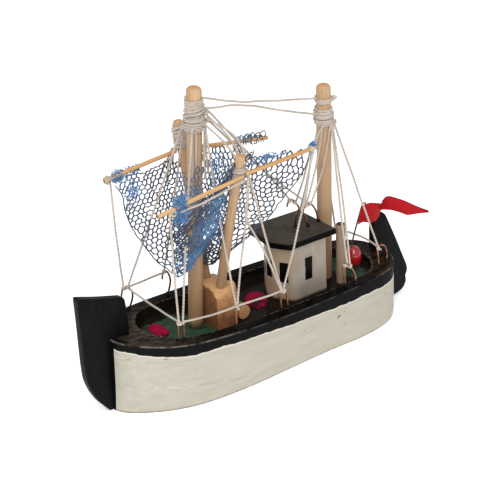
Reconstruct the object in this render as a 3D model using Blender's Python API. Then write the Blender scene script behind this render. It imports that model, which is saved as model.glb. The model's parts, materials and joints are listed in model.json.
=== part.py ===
"""Wooden table model of a small fishing cutter, glued together from separate pieces.

Metres, +Z up. The origin is on the hull's flat underside, below the middle of the hull.
+X points to the bow, +Y to port. Sizes below are in millimetres.
"""
import math

import bmesh
import bpy
from mathutils import Vector

for old_object in list(bpy.data.objects):
    bpy.data.objects.remove(old_object, do_unlink=True)

MM = 0.001
GAP = 0.3                      # glue line kept open between neighbouring pieces

# Driving dimensions
MAST_RADIUS = 2.5
FORE_MAST_FOOT_X = 22.7
FORE_MAST_TOP = (19.3, 0.0, 102.0)
AFT_MAST_FOOT_X = -31.9
AFT_MAST_TOP = (-32.8, 0.0, 88.4)
SOCKET_DEPTH = 3.0

DECK_Z = 18.0                  # floor of the routed well
RIM_WIDTH = 5.0
WELL_FORE_X = 44.0
WELL_AFT_X = -49.0
WELL_FORE_ROUND = 11.0
WELL_AFT_ROUND = 9.0

PLATE_THICKNESS = 3.0          # the stem and stern boards

BLOCK_FORE_X = 19.3
BLOCK_AFT_X = 10.8
BLOCK_HALF_WIDTH = 7.9
BLOCK_SHOULDER_Z = 29.2
BLOCK_CROWN_RISE = 2.8

DRUM_X = 7.7
DRUM_RADIUS = 2.7
DRUM_HALF_LENGTH = 7.0

DERRICK_RADIUS = 1.6
DERRICK_FOOT = (14.8, 3.9, 31.2)
DERRICK_HEAD = (14.3, 17.0, 83.7)

YARD_RADIUS = 0.7

HOUSE_AFT_X = -26.1
HOUSE_CORNER_X = -12.4         # where each side turns into its front chamfer
HOUSE_FORE_X = -8.6
HOUSE_HALF_WIDTH = 8.2
HOUSE_FRONT_HALF_WIDTH = 2.1
HOUSE_TOP_Z = 38.1

# Plan of the roof board, cut by eye: its starboard front corner is hardly taken off
ROOF_PLAN = [(-29.0, -9.7), (-9.2, -10.9), (-7.1, -8.5), (-6.2, 3.9), (-9.9, 9.6), (-29.3, 9.7)]
ROOF_THICKNESS = 2.1

FUNNEL_PLACE = (-33.4, 7.2)
FUNNEL_RADIUS = 1.65
FUNNEL_TOP_Z = 40.0

BEAD_PLACE = (-43.9, 1.6)
BEAD_RADIUS = 2.4
BEAD_HEIGHT = 7.8

WIRE_RADIUS = 0.33
STAPLE_ARCH = 1.6              # how high the round top of a staple rises above its legs
THREAD_RADIUS = 0.3

NET_THICKNESS = 0.6
NET_CLEARANCE = 0.5
NET_ROWS = 16
NET_COLUMNS = 18
NET_FORE_SAG = 27.0
NET_AFT_SAG = 7.0
NET_DEEP_SAG = 32.0

# Hull stations, bow to stern
# x, half width at the rail, rail height, half width at the chine, chine height, half width at the bottom
HULL_STATIONS = [
    (57.4, 3.0, 26.0, 3.0, 8.4, 2.4),
    (56.2, 6.0, 25.8, 6.0, 8.2, 5.2),
    (53.4, 9.8, 25.5, 9.9, 8.0, 8.2),
    (49.0, 13.0, 24.9, 13.2, 7.4, 11.4),
    (43.5, 15.7, 24.1, 15.9, 6.7, 14.4),
    (36.0, 17.6, 23.3, 17.8, 5.8, 17.0),
    (26.0, 18.7, 22.6, 18.8, 4.3, 18.4),
    (12.0, 19.4, 21.9, 19.2, 2.4, 18.5),
    (-4.0, 19.4, 21.4, 18.6, 2.0, 17.4),
    (-20.0, 18.8, 21.1, 17.8, 2.0, 16.6),
    (-34.0, 17.6, 20.9, 17.2, 2.0, 16.6),
    (-43.0, 16.2, 20.8, 16.0, 2.0, 15.4),
    (-49.0, 14.4, 20.8, 14.2, 2.0, 13.4),
    (-53.0, 11.6, 20.8, 11.4, 2.0, 10.8),
    (-55.8, 7.8, 20.8, 7.7, 2.0, 7.2),
    (-57.0, 3.6, 20.8, 3.5, 2.0, 3.2),
]
STEPS_BETWEEN_STATIONS = 2

# Staples on the rail: name, fore foot x and y, aft foot x and y, height
RAIL_STAPLES = [
    ("port_staple_1", 39.0, 13.4, 36.8, 13.4, 6.4),
    ("port_staple_2", 18.6, 16.6, 16.8, 14.8, 6.8),
    ("port_staple_3", -1.4, 15.2, -4.0, 15.2, 6.4),
    ("port_staple_4", -29.0, 15.0, -32.8, 15.6, 7.2),
    ("port_staple_5", -46.6, 11.4, -51.0, 10.0, 7.0),
    ("starboard_staple_1", 41.4, -13.6, 37.4, -15.2, 8.6),
    ("starboard_staple_4", -29.3, -15.2, -32.3, -15.2, 6.5),
    ("starboard_staple_5", -45.2, -12.7, -48.2, -12.0, 6.0),
]


def material(name, colour, roughness=0.5, metallic=0.0):
    """A Principled material; colour is linear RGB."""
    new = bpy.data.materials.new(name)
    new.use_nodes = True
    shader = new.node_tree.nodes["Principled BSDF"]
    shader.inputs["Base Color"].default_value = (*colour, 1.0)
    shader.inputs["Roughness"].default_value = roughness
    shader.inputs["Metallic"].default_value = metallic
    new.diffuse_color = (*colour, 1.0)
    return new


WHITE_PAINT = material("white_paint", (0.66, 0.62, 0.52), 0.25)
BLACK_PAINT = material("black_paint", (0.012, 0.011, 0.012), 0.3)
DOWEL_WOOD = material("dowel_wood", (0.58, 0.38, 0.20), 0.6)
BLOCK_WOOD = material("block_wood", (0.54, 0.31, 0.14), 0.6)
STICK_WOOD = material("stick_wood", (0.72, 0.38, 0.12), 0.55)
HOUSE_PAINT = material("house_paint", (0.52, 0.45, 0.38), 0.5)
FUNNEL_PAINT = material("funnel_paint", (0.40, 0.35, 0.26), 0.5)
RED_BEAD = material("red_bead", (0.58, 0.02, 0.03), 0.12)
RED_FLAG = material("red_flag", (0.60, 0.02, 0.03), 0.7)
COPPER_WIRE = material("copper_wire", (0.19, 0.06, 0.03), 0.35, 1.0)
COTTON_THREAD = material("cotton_thread", (0.68, 0.63, 0.58), 0.9)
NET_CORD = material("net_cord", (0.05, 0.19, 0.40), 0.7)
PINK_FELT = material("pink_felt", (0.38, 0.01, 0.07), 0.9)


def scene_object(name, data, finish):
    """Put mesh or curve data in the scene as one named sub-part."""
    new = bpy.data.objects.new(name, data)
    bpy.context.scene.collection.objects.link(new)
    if finish is not None:
        data.materials.append(finish)
    return new


def mesh_object(name, shape, finish, smooth=True):
    """Finish a bmesh drawn in millimetres as a closed, outward-facing object in metres."""
    bmesh.ops.recalc_face_normals(shape, faces=shape.faces)
    bmesh.ops.scale(shape, vec=(MM, MM, MM), verts=shape.verts)
    data = bpy.data.meshes.new(name)
    shape.to_mesh(data)
    shape.free()
    if smooth:
        data.shade_smooth()
        data.set_sharp_from_angle(angle=math.radians(35.0))
    return scene_object(name, data, finish)


def cutter(name, shape):
    """A hidden solid used only for a Boolean cut."""
    new = mesh_object(name, shape, None, smooth=False)
    new.hide_render = True
    new.hide_set(True)
    new.display_type = "WIRE"
    return new


def cut(target, tool):
    boolean = target.modifiers.new("cut_" + tool.name, "BOOLEAN")
    boolean.operation = "DIFFERENCE"
    boolean.solver = "EXACT"
    boolean.object = tool


def soften(target, width, segments=2):
    """Round the sharp edges of a sawn or turned wooden piece."""
    bevel = target.modifiers.new("soft_edges", "BEVEL")
    bevel.width = width * MM
    bevel.segments = segments
    bevel.limit_method = "ANGLE"
    bevel.angle_limit = math.radians(50.0)
    bevel.use_clamp_overlap = True


def loft(rings):
    """Join closed rings of equal length into a solid with flat ends."""
    shape = bmesh.new()
    rows = [[shape.verts.new(point) for point in ring] for ring in rings]
    count = len(rows[0])
    for lower, upper in zip(rows, rows[1:]):
        for i in range(count):
            j = (i + 1) % count
            shape.faces.new((lower[i], lower[j], upper[j], upper[i]))
    shape.faces.new(list(reversed(rows[0])))
    shape.faces.new(rows[-1])
    return shape


def prism(outline, low, high, axis="Z"):
    """Extrude a closed outline between two levels of one axis."""
    def place(point, level):
        if axis == "Z":
            return (point[0], point[1], level)
        return (point[0], level, point[1])
    return loft([[place(point, level) for point in outline] for level in (low, high)])


def rod(start, end, radius, sides=16):
    """A round stick between two points, with flat sawn ends."""
    start = Vector(start)
    end = Vector(end)
    turn = (end - start).to_track_quat("Z", "Y")
    rings = []
    for centre in (start, end):
        ring = []
        for i in range(sides):
            angle = 2.0 * math.pi * i / sides
            offset = Vector((math.cos(angle), math.sin(angle), 0.0)) * radius
            ring.append(centre + turn @ offset)
        rings.append(ring)
    return loft(rings)


def sleeve(start, end, inner, outer, sides=20):
    """A short open tube between two points, as thread wound round a stick."""
    start = Vector(start)
    end = Vector(end)
    turn = (end - start).to_track_quat("Z", "Y")
    profile = [(start, inner), (start, outer), (end, outer), (end, inner)]
    shape = bmesh.new()
    rows = []
    for i in range(sides):
        angle = 2.0 * math.pi * i / sides
        around = turn @ Vector((math.cos(angle), math.sin(angle), 0.0))
        rows.append([shape.verts.new(centre + around * radius) for centre, radius in profile])
    for i in range(sides):
        here = rows[i]
        after = rows[(i + 1) % sides]
        for k in range(4):
            m = (k + 1) % 4
            shape.faces.new((here[k], here[m], after[m], after[k]))
    return shape


def wire(name, points, radius, finish, sides=3):
    """A bent wire or a taut thread along a list of points."""
    data = bpy.data.curves.new(name, "CURVE")
    data.dimensions = "3D"
    spline = data.splines.new("POLY")
    spline.points.add(len(points) - 1)
    for slot, point in zip(spline.points, points):
        slot.co = (point[0] * MM, point[1] * MM, point[2] * MM, 1.0)
    data.bevel_depth = radius * MM
    data.bevel_resolution = sides
    data.use_fill_caps = True
    return scene_object(name, data, finish)


def between(start, end, t):
    return tuple(a + (b - a) * t for a, b in zip(start, end))


def catmull(values, t):
    """Smooth value a share t of the way between the two middle ones of four."""
    a, b, c, d = values
    return 0.5 * (2 * b + (c - a) * t + (2 * a - 5 * b + 4 * c - d) * t * t
                  + (3 * b - a - 3 * c + d) * t ** 3)


def hull_sections():
    """The station table with smooth extra sections between its rows."""
    rows = HULL_STATIONS
    sections = []
    for i in range(len(rows) - 1):
        around = [rows[max(i - 1, 0)], rows[i], rows[i + 1], rows[min(i + 2, len(rows) - 1)]]
        for step in range(STEPS_BETWEEN_STATIONS):
            t = step / STEPS_BETWEEN_STATIONS
            sections.append(tuple(catmull(column, t) for column in zip(*around)))
    sections.append(rows[-1])
    return sections


def at_station(x, column):
    """A column of the station table at any x, read along straight lines."""
    rows = HULL_STATIONS
    for fore, aft in zip(rows, rows[1:]):
        if fore[0] >= x >= aft[0]:
            t = (fore[0] - x) / (fore[0] - aft[0])
            return fore[column] + (aft[column] - fore[column]) * t
    return rows[0][column] if x > rows[0][0] else rows[-1][column]


def rail_z(x):
    return at_station(x, 2)


def well_half_width(x):
    """Half width of the well: the rail less the rim, closed by a round at each end."""
    half = at_station(x, 1) - RIM_WIDTH
    fore = (x - (WELL_FORE_X - WELL_FORE_ROUND)) / WELL_FORE_ROUND
    aft = ((WELL_AFT_X + WELL_AFT_ROUND) - x) / WELL_AFT_ROUND
    t = min(max(fore, aft, 0.0), 1.0)
    return half * math.sqrt(1.0 - t * t)


def mast_axis_x(foot_x, top, z):
    """Where the axis of a raked mast is at height z."""
    return foot_x + (top[0] - foot_x) * (z - DECK_Z) / (top[2] - DECK_Z)


def make_hull():
    rings = []
    for x, rail, rail_height, chine, chine_height, bottom in hull_sections():
        side = [(bottom, 0.0), (chine, chine_height), (rail - 0.5, rail_height), (rail, rail_height - 0.6)]
        port = [(x, side[0][0], side[0][1]), (x, side[1][0], side[1][1]),
                (x, side[3][0], side[3][1]), (x, side[2][0], side[2][1])]
        starboard = [(px, -py, pz) for px, py, pz in reversed(port)]
        rings.append(port + starboard)
    hull = mesh_object("hull", loft(rings), WHITE_PAINT)

    steps = 36
    outline = []
    for i in range(steps + 1):
        turn = math.pi * i / steps
        middle = (WELL_FORE_X + WELL_AFT_X) / 2.0
        x = middle + (WELL_FORE_X - WELL_AFT_X) / 2.0 * math.cos(turn)
        outline.append((x, well_half_width(x)))
    port = outline
    starboard = [(x, -y) for x, y in reversed(outline[1:-1])]
    cut(hull, cutter("well_cutter", prism(port + starboard, DECK_Z, 40.0)))

    for name, foot_x, top in (
        ("fore_socket_cutter", FORE_MAST_FOOT_X, FORE_MAST_TOP),
        ("aft_socket_cutter", AFT_MAST_FOOT_X, AFT_MAST_TOP),
    ):
        low_x = mast_axis_x(foot_x, top, DECK_Z - SOCKET_DEPTH)
        high_x = mast_axis_x(foot_x, top, DECK_Z + 2.0)
        hole = rod((low_x, 0.0, DECK_Z - SOCKET_DEPTH), (high_x, 0.0, DECK_Z + 2.0),
                   MAST_RADIUS + GAP, 24)
        cut(hull, cutter(name, hole))


def make_boards():
    """Stem and stern boards, sawn from thin plate and stood on edge in the centre plane."""
    half = PLATE_THICKNESS / 2.0
    bow_face = HULL_STATIONS[0][0] + GAP
    stem = [
        (bow_face, 0.2), (58.2, 0.2), (61.6, 5.0), (63.7, 9.0), (65.5, 13.2), (66.4, 18.2),
        (66.9, 26.0), (67.3, 34.0), (67.7, 42.5), (51.2, 38.2), (50.4, 37.4),
        (50.0, 34.0), (49.8, rail_z(49.8) + GAP), (bow_face, 26.0 + GAP),
    ]
    stem_plate = mesh_object("stem_plate", prism(stem, -half, half, "Y"), BLACK_PAINT)
    soften(stem_plate, 0.35)

    stern_face = HULL_STATIONS[-1][0] - GAP
    stern = [
        (stern_face, 0.6), (stern_face, 20.8 + GAP), (-52.9, 20.8 + GAP), (-52.9, 34.0),
        (-54.2, 34.8), (-56.6, 34.7), (-58.0, 33.6), (-62.8, 23.0), (-66.6, 13.6), (-67.8, 10.8),
        (-67.9, 8.4), (-67.2, 7.2), (-67.5, 4.9), (-66.4, 2.4), (-63.8, 1.2),
    ]
    stern_plate = mesh_object("stern_plate", prism(stern, -half, half, "Y"), BLACK_PAINT)
    soften(stern_plate, 0.35)


def make_masts():
    for name, foot_x, top in (
        ("fore_mast", FORE_MAST_FOOT_X, FORE_MAST_TOP),
        ("aft_mast", AFT_MAST_FOOT_X, AFT_MAST_TOP),
    ):
        low = DECK_Z - SOCKET_DEPTH + GAP
        foot = (mast_axis_x(foot_x, top, low), 0.0, low)
        mast = mesh_object(name, rod(foot, top, MAST_RADIUS, 24), DOWEL_WOOD)
        soften(mast, 0.8, 3)


def make_block():
    """The sawn block behind the fore mast, with an arched top drilled for the two derricks."""
    outline = [(BLOCK_HALF_WIDTH, DECK_Z + GAP)]
    steps = 12
    for i in range(steps + 1):
        angle = math.pi * i / steps
        outline.append((BLOCK_HALF_WIDTH * math.cos(angle),
                        BLOCK_SHOULDER_Z + BLOCK_CROWN_RISE * math.sin(angle)))
    outline.append((-BLOCK_HALF_WIDTH, DECK_Z + GAP))
    rings = [[(x, y, z) for y, z in outline] for x in (BLOCK_AFT_X, BLOCK_FORE_X)]
    block = mesh_object("winch_block", loft(rings), BLOCK_WOOD)
    for side, name in ((1, "port_drill"), (-1, "starboard_drill")):
        foot, head = derrick_ends(side)
        low = between(foot, head, -(GAP + 0.1) / 54.0)
        high = between(foot, head, 0.15)
        cut(block, cutter(name, rod(low, high, DERRICK_RADIUS + GAP, 20)))


def derrick_ends(side):
    """Foot, sunk a little into the block, and head of the derrick on one side."""
    foot = (DERRICK_FOOT[0], side * DERRICK_FOOT[1], DERRICK_FOOT[2])
    head = (DERRICK_HEAD[0], side * DERRICK_HEAD[1], DERRICK_HEAD[2])
    return between(foot, head, -3.0 / 54.5), head


def make_derricks():
    for side, name in ((1, "port_derrick"), (-1, "starboard_derrick")):
        foot, head = derrick_ends(side)
        derrick = mesh_object(name, rod(foot, head, DERRICK_RADIUS, 20), DOWEL_WOOD)
        soften(derrick, 0.4)


# Thin sticks lashed to the derricks: name, inner end, outer end
YARD_STICKS = [
    ("port_yard_fore", (14.6, 17.75, 75.4), (47.3, 17.2, 71.7)),
    ("port_yard_aft", (13.7, 17.75, 76.2), (-15.5, 17.2, 76.8)),
    ("starboard_yard_fore", (16.9, -14.6, 74.3), (43.9, -17.0, 70.9)),
    ("starboard_yard_aft", (11.8, -15.0, 73.5), (-22.2, -17.2, 66.7)),
]


def make_yards():
    for name, inner, outer in YARD_STICKS:
        stick = mesh_object(name, rod(inner, outer, YARD_RADIUS, 10), STICK_WOOD)
        soften(stick, 0.15, 1)


def make_drum():
    start = (DRUM_X, -DRUM_HALF_LENGTH, DECK_Z + GAP + DRUM_RADIUS)
    end = (DRUM_X, DRUM_HALF_LENGTH, DECK_Z + GAP + DRUM_RADIUS)
    drum = mesh_object("winch_drum", rod(start, end, DRUM_RADIUS, 24), DOWEL_WOOD)
    soften(drum, 0.3)


def house_outline(aft, corner, fore, half, front_half):
    """Plan of the wheelhouse: a box with its two front corners cut off."""
    return [(aft, -half), (corner, -half), (fore, -front_half),
            (fore, front_half), (corner, half), (aft, half)]


def make_wheelhouse():
    walls = house_outline(HOUSE_AFT_X, HOUSE_CORNER_X, HOUSE_FORE_X,
                          HOUSE_HALF_WIDTH, HOUSE_FRONT_HALF_WIDTH)
    house = mesh_object("wheelhouse", prism(walls, DECK_Z + GAP, HOUSE_TOP_Z), HOUSE_PAINT)
    soften(house, 0.25)
    low = HOUSE_TOP_Z + GAP
    roof = mesh_object("wheelhouse_roof", prism(ROOF_PLAN, low, low + ROOF_THICKNESS), BLACK_PAINT)
    soften(roof, 0.3)


def make_funnel():
    x, y = FUNNEL_PLACE
    funnel = mesh_object("funnel", rod((x, y, DECK_Z + GAP), (x, y, FUNNEL_TOP_Z), FUNNEL_RADIUS, 20),
                         FUNNEL_PAINT)
    soften(funnel, 0.2)


def make_float_bead():
    shape = bmesh.new()
    bmesh.ops.create_uvsphere(shape, u_segments=20, v_segments=12, radius=1.0)
    bmesh.ops.scale(shape, vec=(BEAD_RADIUS, BEAD_RADIUS, BEAD_HEIGHT / 2.0), verts=shape.verts)
    centre = (*BEAD_PLACE, DECK_Z + GAP + BEAD_HEIGHT / 2.0)
    bmesh.ops.translate(shape, vec=centre, verts=shape.verts)
    mesh_object("float_bead", shape, RED_BEAD)


def make_flag():
    """A short wire staff standing on the bead, with a waved flag beside it."""
    foot = (BEAD_PLACE[0] + 0.9, BEAD_PLACE[1], DECK_Z + GAP + BEAD_HEIGHT + GAP)
    top = (-48.4, BEAD_PLACE[1], 40.4)
    wire("flagpole", [between(foot, top, i / 4.0) for i in range(5)], WIRE_RADIUS, COPPER_WIRE)

    length = 24.3
    heading = Vector((-0.92, 0.39, 0.0)).normalized()
    across = Vector((-heading.y, heading.x, 0.0))
    steps = 20
    rings = []
    for i in range(steps + 1):
        t = i / steps
        wave = 1.5 * math.sin(2.0 * math.pi * t) * min(1.0, 4.0 * t)
        droop = 4.4 * max(0.0, math.sin(math.pi * t)) ** 1.3 - 2.0 * t
        high = 3.1 + 0.4 * math.sin(math.pi * min(1.0, 2.0 * t)) - 1.6 * t - 1.1 * t ** 6
        hoist = between(foot, top, 0.7)
        centre = Vector(hoist) + heading * (WIRE_RADIUS + GAP + 0.1 + length * t) + across * wave
        centre.z += droop
        lean = Vector((-0.39, 0.0, 1.0)).lerp(Vector((0.0, 0.0, 1.0)), min(1.0, 3.0 * t))
        sideways = across * 0.2
        rings.append([centre + lean * high + sideways, centre + lean * high - sideways,
                      centre - lean * high - sideways, centre - lean * high + sideways])
    mesh_object("flag", loft(rings), RED_FLAG)


def staple_points(fore_foot, aft_foot, height, base):
    """Feet, two legs and a round top."""
    points = [(*fore_foot, base)]
    leg_top = base + height - STAPLE_ARCH
    steps = 8
    for i in range(steps + 1):
        angle = math.pi * i / steps
        across = 0.5 - 0.5 * math.cos(angle)
        x, y = between(fore_foot, aft_foot, across)
        points.append((x, y, leg_top + STAPLE_ARCH * math.sin(angle)))
    points.append((*aft_foot, base))
    return points


def make_staples():
    """Bent wire staples pressed into the rail and the roof, where the threads are tied."""
    lift = GAP + 0.05
    for name, fore_x, fore_y, aft_x, aft_y, height in RAIL_STAPLES:
        base = max(rail_z(fore_x), rail_z(aft_x)) + lift
        wire(name, staple_points((fore_x, fore_y), (aft_x, aft_y), height, base),
             WIRE_RADIUS, COPPER_WIRE, 2)

    roof_top = HOUSE_TOP_Z + GAP + ROOF_THICKNESS
    wire("roof_staple", staple_points((-23.0, 2.6), (-28.0, 1.8), 7.8, roof_top + lift),
         WIRE_RADIUS, COPPER_WIRE, 2)

    for name, foot, lean, height, base in (
        ("starboard_hook_2", (19.9, -16.9), (1.0, 0.0), 8.6, rail_z(19.9) + lift),
        ("roof_hook", (-19.6, 0.2), (0.9, -0.5), 9.8, roof_top + lift),
    ):
        points = [(*foot, base), (foot[0], foot[1], base + height * 0.45)]
        steps = 8
        radius = 1.7
        for i in range(steps + 1):
            angle = math.pi * 1.15 * i / steps
            reach = radius * (1.0 - math.cos(angle))
            points.append((foot[0] + lean[0] * reach, foot[1] + lean[1] * reach,
                           base + height - radius + radius * math.sin(angle)))
        wire(name, points, WIRE_RADIUS, COPPER_WIRE, 2)


def make_lashings():
    """Thread wound round the mastheads and the derrick heads."""
    inner = MAST_RADIUS + GAP
    for name, foot_x, top, high, low in (
        ("fore_masthead_lashing", FORE_MAST_FOOT_X, FORE_MAST_TOP, 97.5, 87.0),
        ("aft_masthead_lashing", AFT_MAST_FOOT_X, AFT_MAST_TOP, 80.0, 74.0),
    ):
        start = (mast_axis_x(foot_x, top, low), 0.0, low)
        end = (mast_axis_x(foot_x, top, high), 0.0, high)
        mesh_object(name, sleeve(start, end, inner, inner + 0.7), COTTON_THREAD)
    inner = DERRICK_RADIUS + GAP
    for side, name in ((1, "port_derrick_lashing"), (-1, "starboard_derrick_lashing")):
        foot, head = derrick_ends(side)
        start = between(foot, head, 0.89)
        end = between(foot, head, 0.935)
        mesh_object(name, sleeve(start, end, inner, inner + 0.6), COTTON_THREAD)


def make_stays():
    """The two threads between the mastheads and the two main shrouds of the aft mast."""
    fore_x = mast_axis_x(FORE_MAST_FOOT_X, FORE_MAST_TOP, 98.4) - MAST_RADIUS - GAP - THREAD_RADIUS
    aft_x = mast_axis_x(AFT_MAST_FOOT_X, AFT_MAST_TOP, 82.0) + MAST_RADIUS + GAP + THREAD_RADIUS
    start = (fore_x, 0.0, 98.4)
    end = (aft_x, 0.0, 82.0)
    wire("masthead_stay", [between(start, end, i / 8.0) for i in range(9)],
         THREAD_RADIUS, COTTON_THREAD, 2)
    for side, name, staple in ((1, "port_aft_shroud", 3), (-1, "starboard_aft_shroud", 6)):
        row = RAIL_STAPLES[staple]
        crown = max(rail_z(row[1]), rail_z(row[3])) + GAP + row[5] + WIRE_RADIUS + GAP + THREAD_RADIUS
        low = ((row[1] + row[3]) / 2.0, (row[2] + row[4]) / 2.0, crown + 0.1)
        high = (mast_axis_x(AFT_MAST_FOOT_X, AFT_MAST_TOP, 73.0),
                side * (MAST_RADIUS + GAP + THREAD_RADIUS + 0.1), 73.0)
        wire(name, [between(low, high, i / 8.0) for i in range(9)], THREAD_RADIUS, COTTON_THREAD, 2)


# Corners of the net, each just under its yard stick: x, y, z
NET_CORNERS = {
    "port_fore": (45.6, 17.0, 70.4),
    "port_aft": (-14.0, 17.0, 75.2),
    "starboard_fore": (42.2, -16.8, 69.6),
    "starboard_aft": (-20.6, -16.9, 65.6),
}
NET_CENTRE_X = 18.0


def net_point(u, v):
    """Middle surface of the net: u from aft to fore, v from starboard to port."""
    aft = between(NET_CORNERS["starboard_aft"], NET_CORNERS["port_aft"], v)
    fore = between(NET_CORNERS["starboard_fore"], NET_CORNERS["port_fore"], v)
    x, y, z = between(aft, fore, u)
    bow = 1.0 - (2.0 * v - 1.0) ** 2
    if u < 0.5:
        t = u / 0.5
        sag = NET_AFT_SAG + (NET_DEEP_SAG - NET_AFT_SAG) * t * t * (3.0 - 2.0 * t)
    else:
        t = (u - 0.5) / 0.5
        sag = NET_DEEP_SAG + (NET_FORE_SAG - NET_DEEP_SAG) * t * t
    edge_sag = 3.0 * math.sin(math.pi * u)
    x = NET_CENTRE_X + (x - NET_CENTRE_X) * (1.0 - 0.3 * bow)
    return Vector((x, y, z - sag * bow - edge_sag))


def make_net():
    """The slack net hung from the four yard ends, as a thin closed sheet."""
    shape = bmesh.new()
    layers = []
    step = 0.01
    for level in (0.5, -0.5):
        grid = []
        for i in range(NET_ROWS + 1):
            row = []
            for j in range(NET_COLUMNS + 1):
                u = i / NET_ROWS
                v = j / NET_COLUMNS
                along = net_point(min(u + step, 1.0), v) - net_point(max(u - step, 0.0), v)
                over = net_point(u, min(v + step, 1.0)) - net_point(u, max(v - step, 0.0))
                normal = along.cross(over).normalized()
                row.append(shape.verts.new(net_point(u, v) + normal * NET_THICKNESS * level))
            grid.append(row)
        layers.append(grid)
    upper, lower = layers
    for i in range(NET_ROWS):
        for j in range(NET_COLUMNS):
            shape.faces.new((upper[i][j], upper[i + 1][j], upper[i + 1][j + 1], upper[i][j + 1]))
            shape.faces.new((lower[i][j + 1], lower[i + 1][j + 1], lower[i + 1][j], lower[i][j]))
    border = [(i, 0) for i in range(NET_ROWS)]
    border += [(NET_ROWS, j) for j in range(NET_COLUMNS)]
    border += [(i, NET_COLUMNS) for i in range(NET_ROWS, 0, -1)]
    border += [(0, j) for j in range(NET_COLUMNS, 0, -1)]
    for (i, j), (m, n) in zip(border, border[1:] + border[:1]):
        shape.faces.new((upper[i][j], lower[i][j], lower[m][n], upper[m][n]))
    net = mesh_object("net", shape, NET_CORD)

    low = (mast_axis_x(FORE_MAST_FOOT_X, FORE_MAST_TOP, 25.0), 0.0, 25.0)
    high = (mast_axis_x(FORE_MAST_FOOT_X, FORE_MAST_TOP, 80.0), 0.0, 80.0)
    cut(net, cutter("net_mast_cutter", rod(low, high, MAST_RADIUS + NET_CLEARANCE, 20)))
    for side, name in ((1, "net_port_cutter"), (-1, "net_starboard_cutter")):
        foot, head = derrick_ends(side)
        cut(net, cutter(name, rod(foot, head, DERRICK_RADIUS + NET_CLEARANCE, 16)))


def make_deck_patches():
    """Two scraps of pink felt glued flat on the deck."""
    base = DECK_Z + GAP
    fore = [(36.3, -8.6), (33.8, -9.7), (31.9, -8.2), (31.4, -4.4), (32.3, -1.0), (35.0, -0.3),
            (36.6, -4.0)]
    mid = [(-1.6, -5.9), (-5.2, -6.5), (-7.5, -4.2), (-6.9, 0.5), (-3.1, 2.2), (0.0, 0.2)]
    for name, outline in (("deck_patch_fore", fore), ("deck_patch_mid", mid)):
        mesh_object(name, prism(outline, base, base + 0.8), PINK_FELT)


make_hull()
make_boards()
make_masts()
make_block()
make_derricks()
make_yards()
make_drum()
make_wheelhouse()
make_funnel()
make_float_bead()
make_flag()
make_staples()
make_lashings()
make_stays()
make_net()
make_deck_patches()
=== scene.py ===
"""Looks of the small wooden table model of a fishing cutter: paint, wood, net, threads and wires.

Millimetres in the frame's own axes: +X to the bow, +Y to port, +Z up, with the origin on the
hull's flat underside. Points become metres when a piece is made.
"""
import json
import math
import random

import bpy
import numpy as np
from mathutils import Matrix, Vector, noise

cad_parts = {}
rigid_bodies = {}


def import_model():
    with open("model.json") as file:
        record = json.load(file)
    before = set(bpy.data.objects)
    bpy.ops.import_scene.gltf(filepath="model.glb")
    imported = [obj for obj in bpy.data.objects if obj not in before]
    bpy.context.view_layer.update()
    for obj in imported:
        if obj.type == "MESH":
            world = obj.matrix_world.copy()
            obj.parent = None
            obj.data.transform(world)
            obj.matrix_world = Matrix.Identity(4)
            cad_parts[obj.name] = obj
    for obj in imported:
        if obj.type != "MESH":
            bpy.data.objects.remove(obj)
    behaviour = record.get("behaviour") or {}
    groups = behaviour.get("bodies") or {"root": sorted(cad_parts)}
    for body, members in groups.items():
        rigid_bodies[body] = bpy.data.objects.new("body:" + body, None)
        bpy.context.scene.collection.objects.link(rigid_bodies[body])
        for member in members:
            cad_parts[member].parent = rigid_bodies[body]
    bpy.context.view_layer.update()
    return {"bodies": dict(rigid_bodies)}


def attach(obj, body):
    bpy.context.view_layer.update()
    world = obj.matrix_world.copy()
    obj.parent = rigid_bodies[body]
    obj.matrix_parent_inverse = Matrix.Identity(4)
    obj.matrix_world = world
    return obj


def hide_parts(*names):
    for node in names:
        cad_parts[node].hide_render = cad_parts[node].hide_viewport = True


for old_object in list(bpy.data.objects):
    bpy.data.objects.remove(old_object, do_unlink=True)

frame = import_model()
BODY = next(iter(frame["bodies"]))
MM = 0.001

# Driving dimensions, the same as the construction's
MAST_RADIUS = 2.5
FORE_MAST_FOOT_X = 22.7
FORE_MAST_TOP = (19.3, 0.0, 102.0)
AFT_MAST_FOOT_X = -31.9
AFT_MAST_TOP = (-32.8, 0.0, 88.4)
DECK_Z = 18.0
RIM_WIDTH = 5.0
WELL_FORE_X = 44.0
WELL_AFT_X = -49.0
WELL_FORE_ROUND = 11.0
WELL_AFT_ROUND = 9.0
PLATE_HALF = 1.5
BLOCK_FORE_X = 19.3
BLOCK_AFT_X = 10.8
BLOCK_HALF_WIDTH = 7.9
BLOCK_SHOULDER_Z = 29.2
BLOCK_CROWN_RISE = 2.8
DRUM_X = 7.7
DRUM_RADIUS = 2.55
DRUM_HALF_LENGTH = 7.0
DERRICK_RADIUS = 1.6
DERRICK_FOOT = (14.8, 3.9, 31.2)
DERRICK_HEAD = (14.3, 17.0, 83.7)
YARD_RADIUS = 0.7
HOUSE_AFT_X = -26.1
HOUSE_CORNER_X = -12.4
HOUSE_FORE_X = -8.6
HOUSE_HALF_WIDTH = 8.2
HOUSE_FRONT_HALF_WIDTH = 2.1
HOUSE_TOP_Z = 38.1
ROOF_PLAN = [(-29.0, -9.7), (-9.2, -10.9), (-7.1, -8.5), (-6.2, 3.9), (-9.9, 9.6), (-29.3, 9.7)]
ROOF_LOW_Z = 38.3
ROOF_TOP_Z = 40.5
FUNNEL_PLACE = (-33.4, 7.2)
FUNNEL_RADIUS = 1.65
FUNNEL_TOP_Z = 40.0
BEAD_PLACE = (-43.6, 1.5)
BEAD_RADIUS = 2.8
BEAD_HEIGHT = 7.8
WIRE_RADIUS = 0.33
THREAD_RADIUS = 0.33

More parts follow.
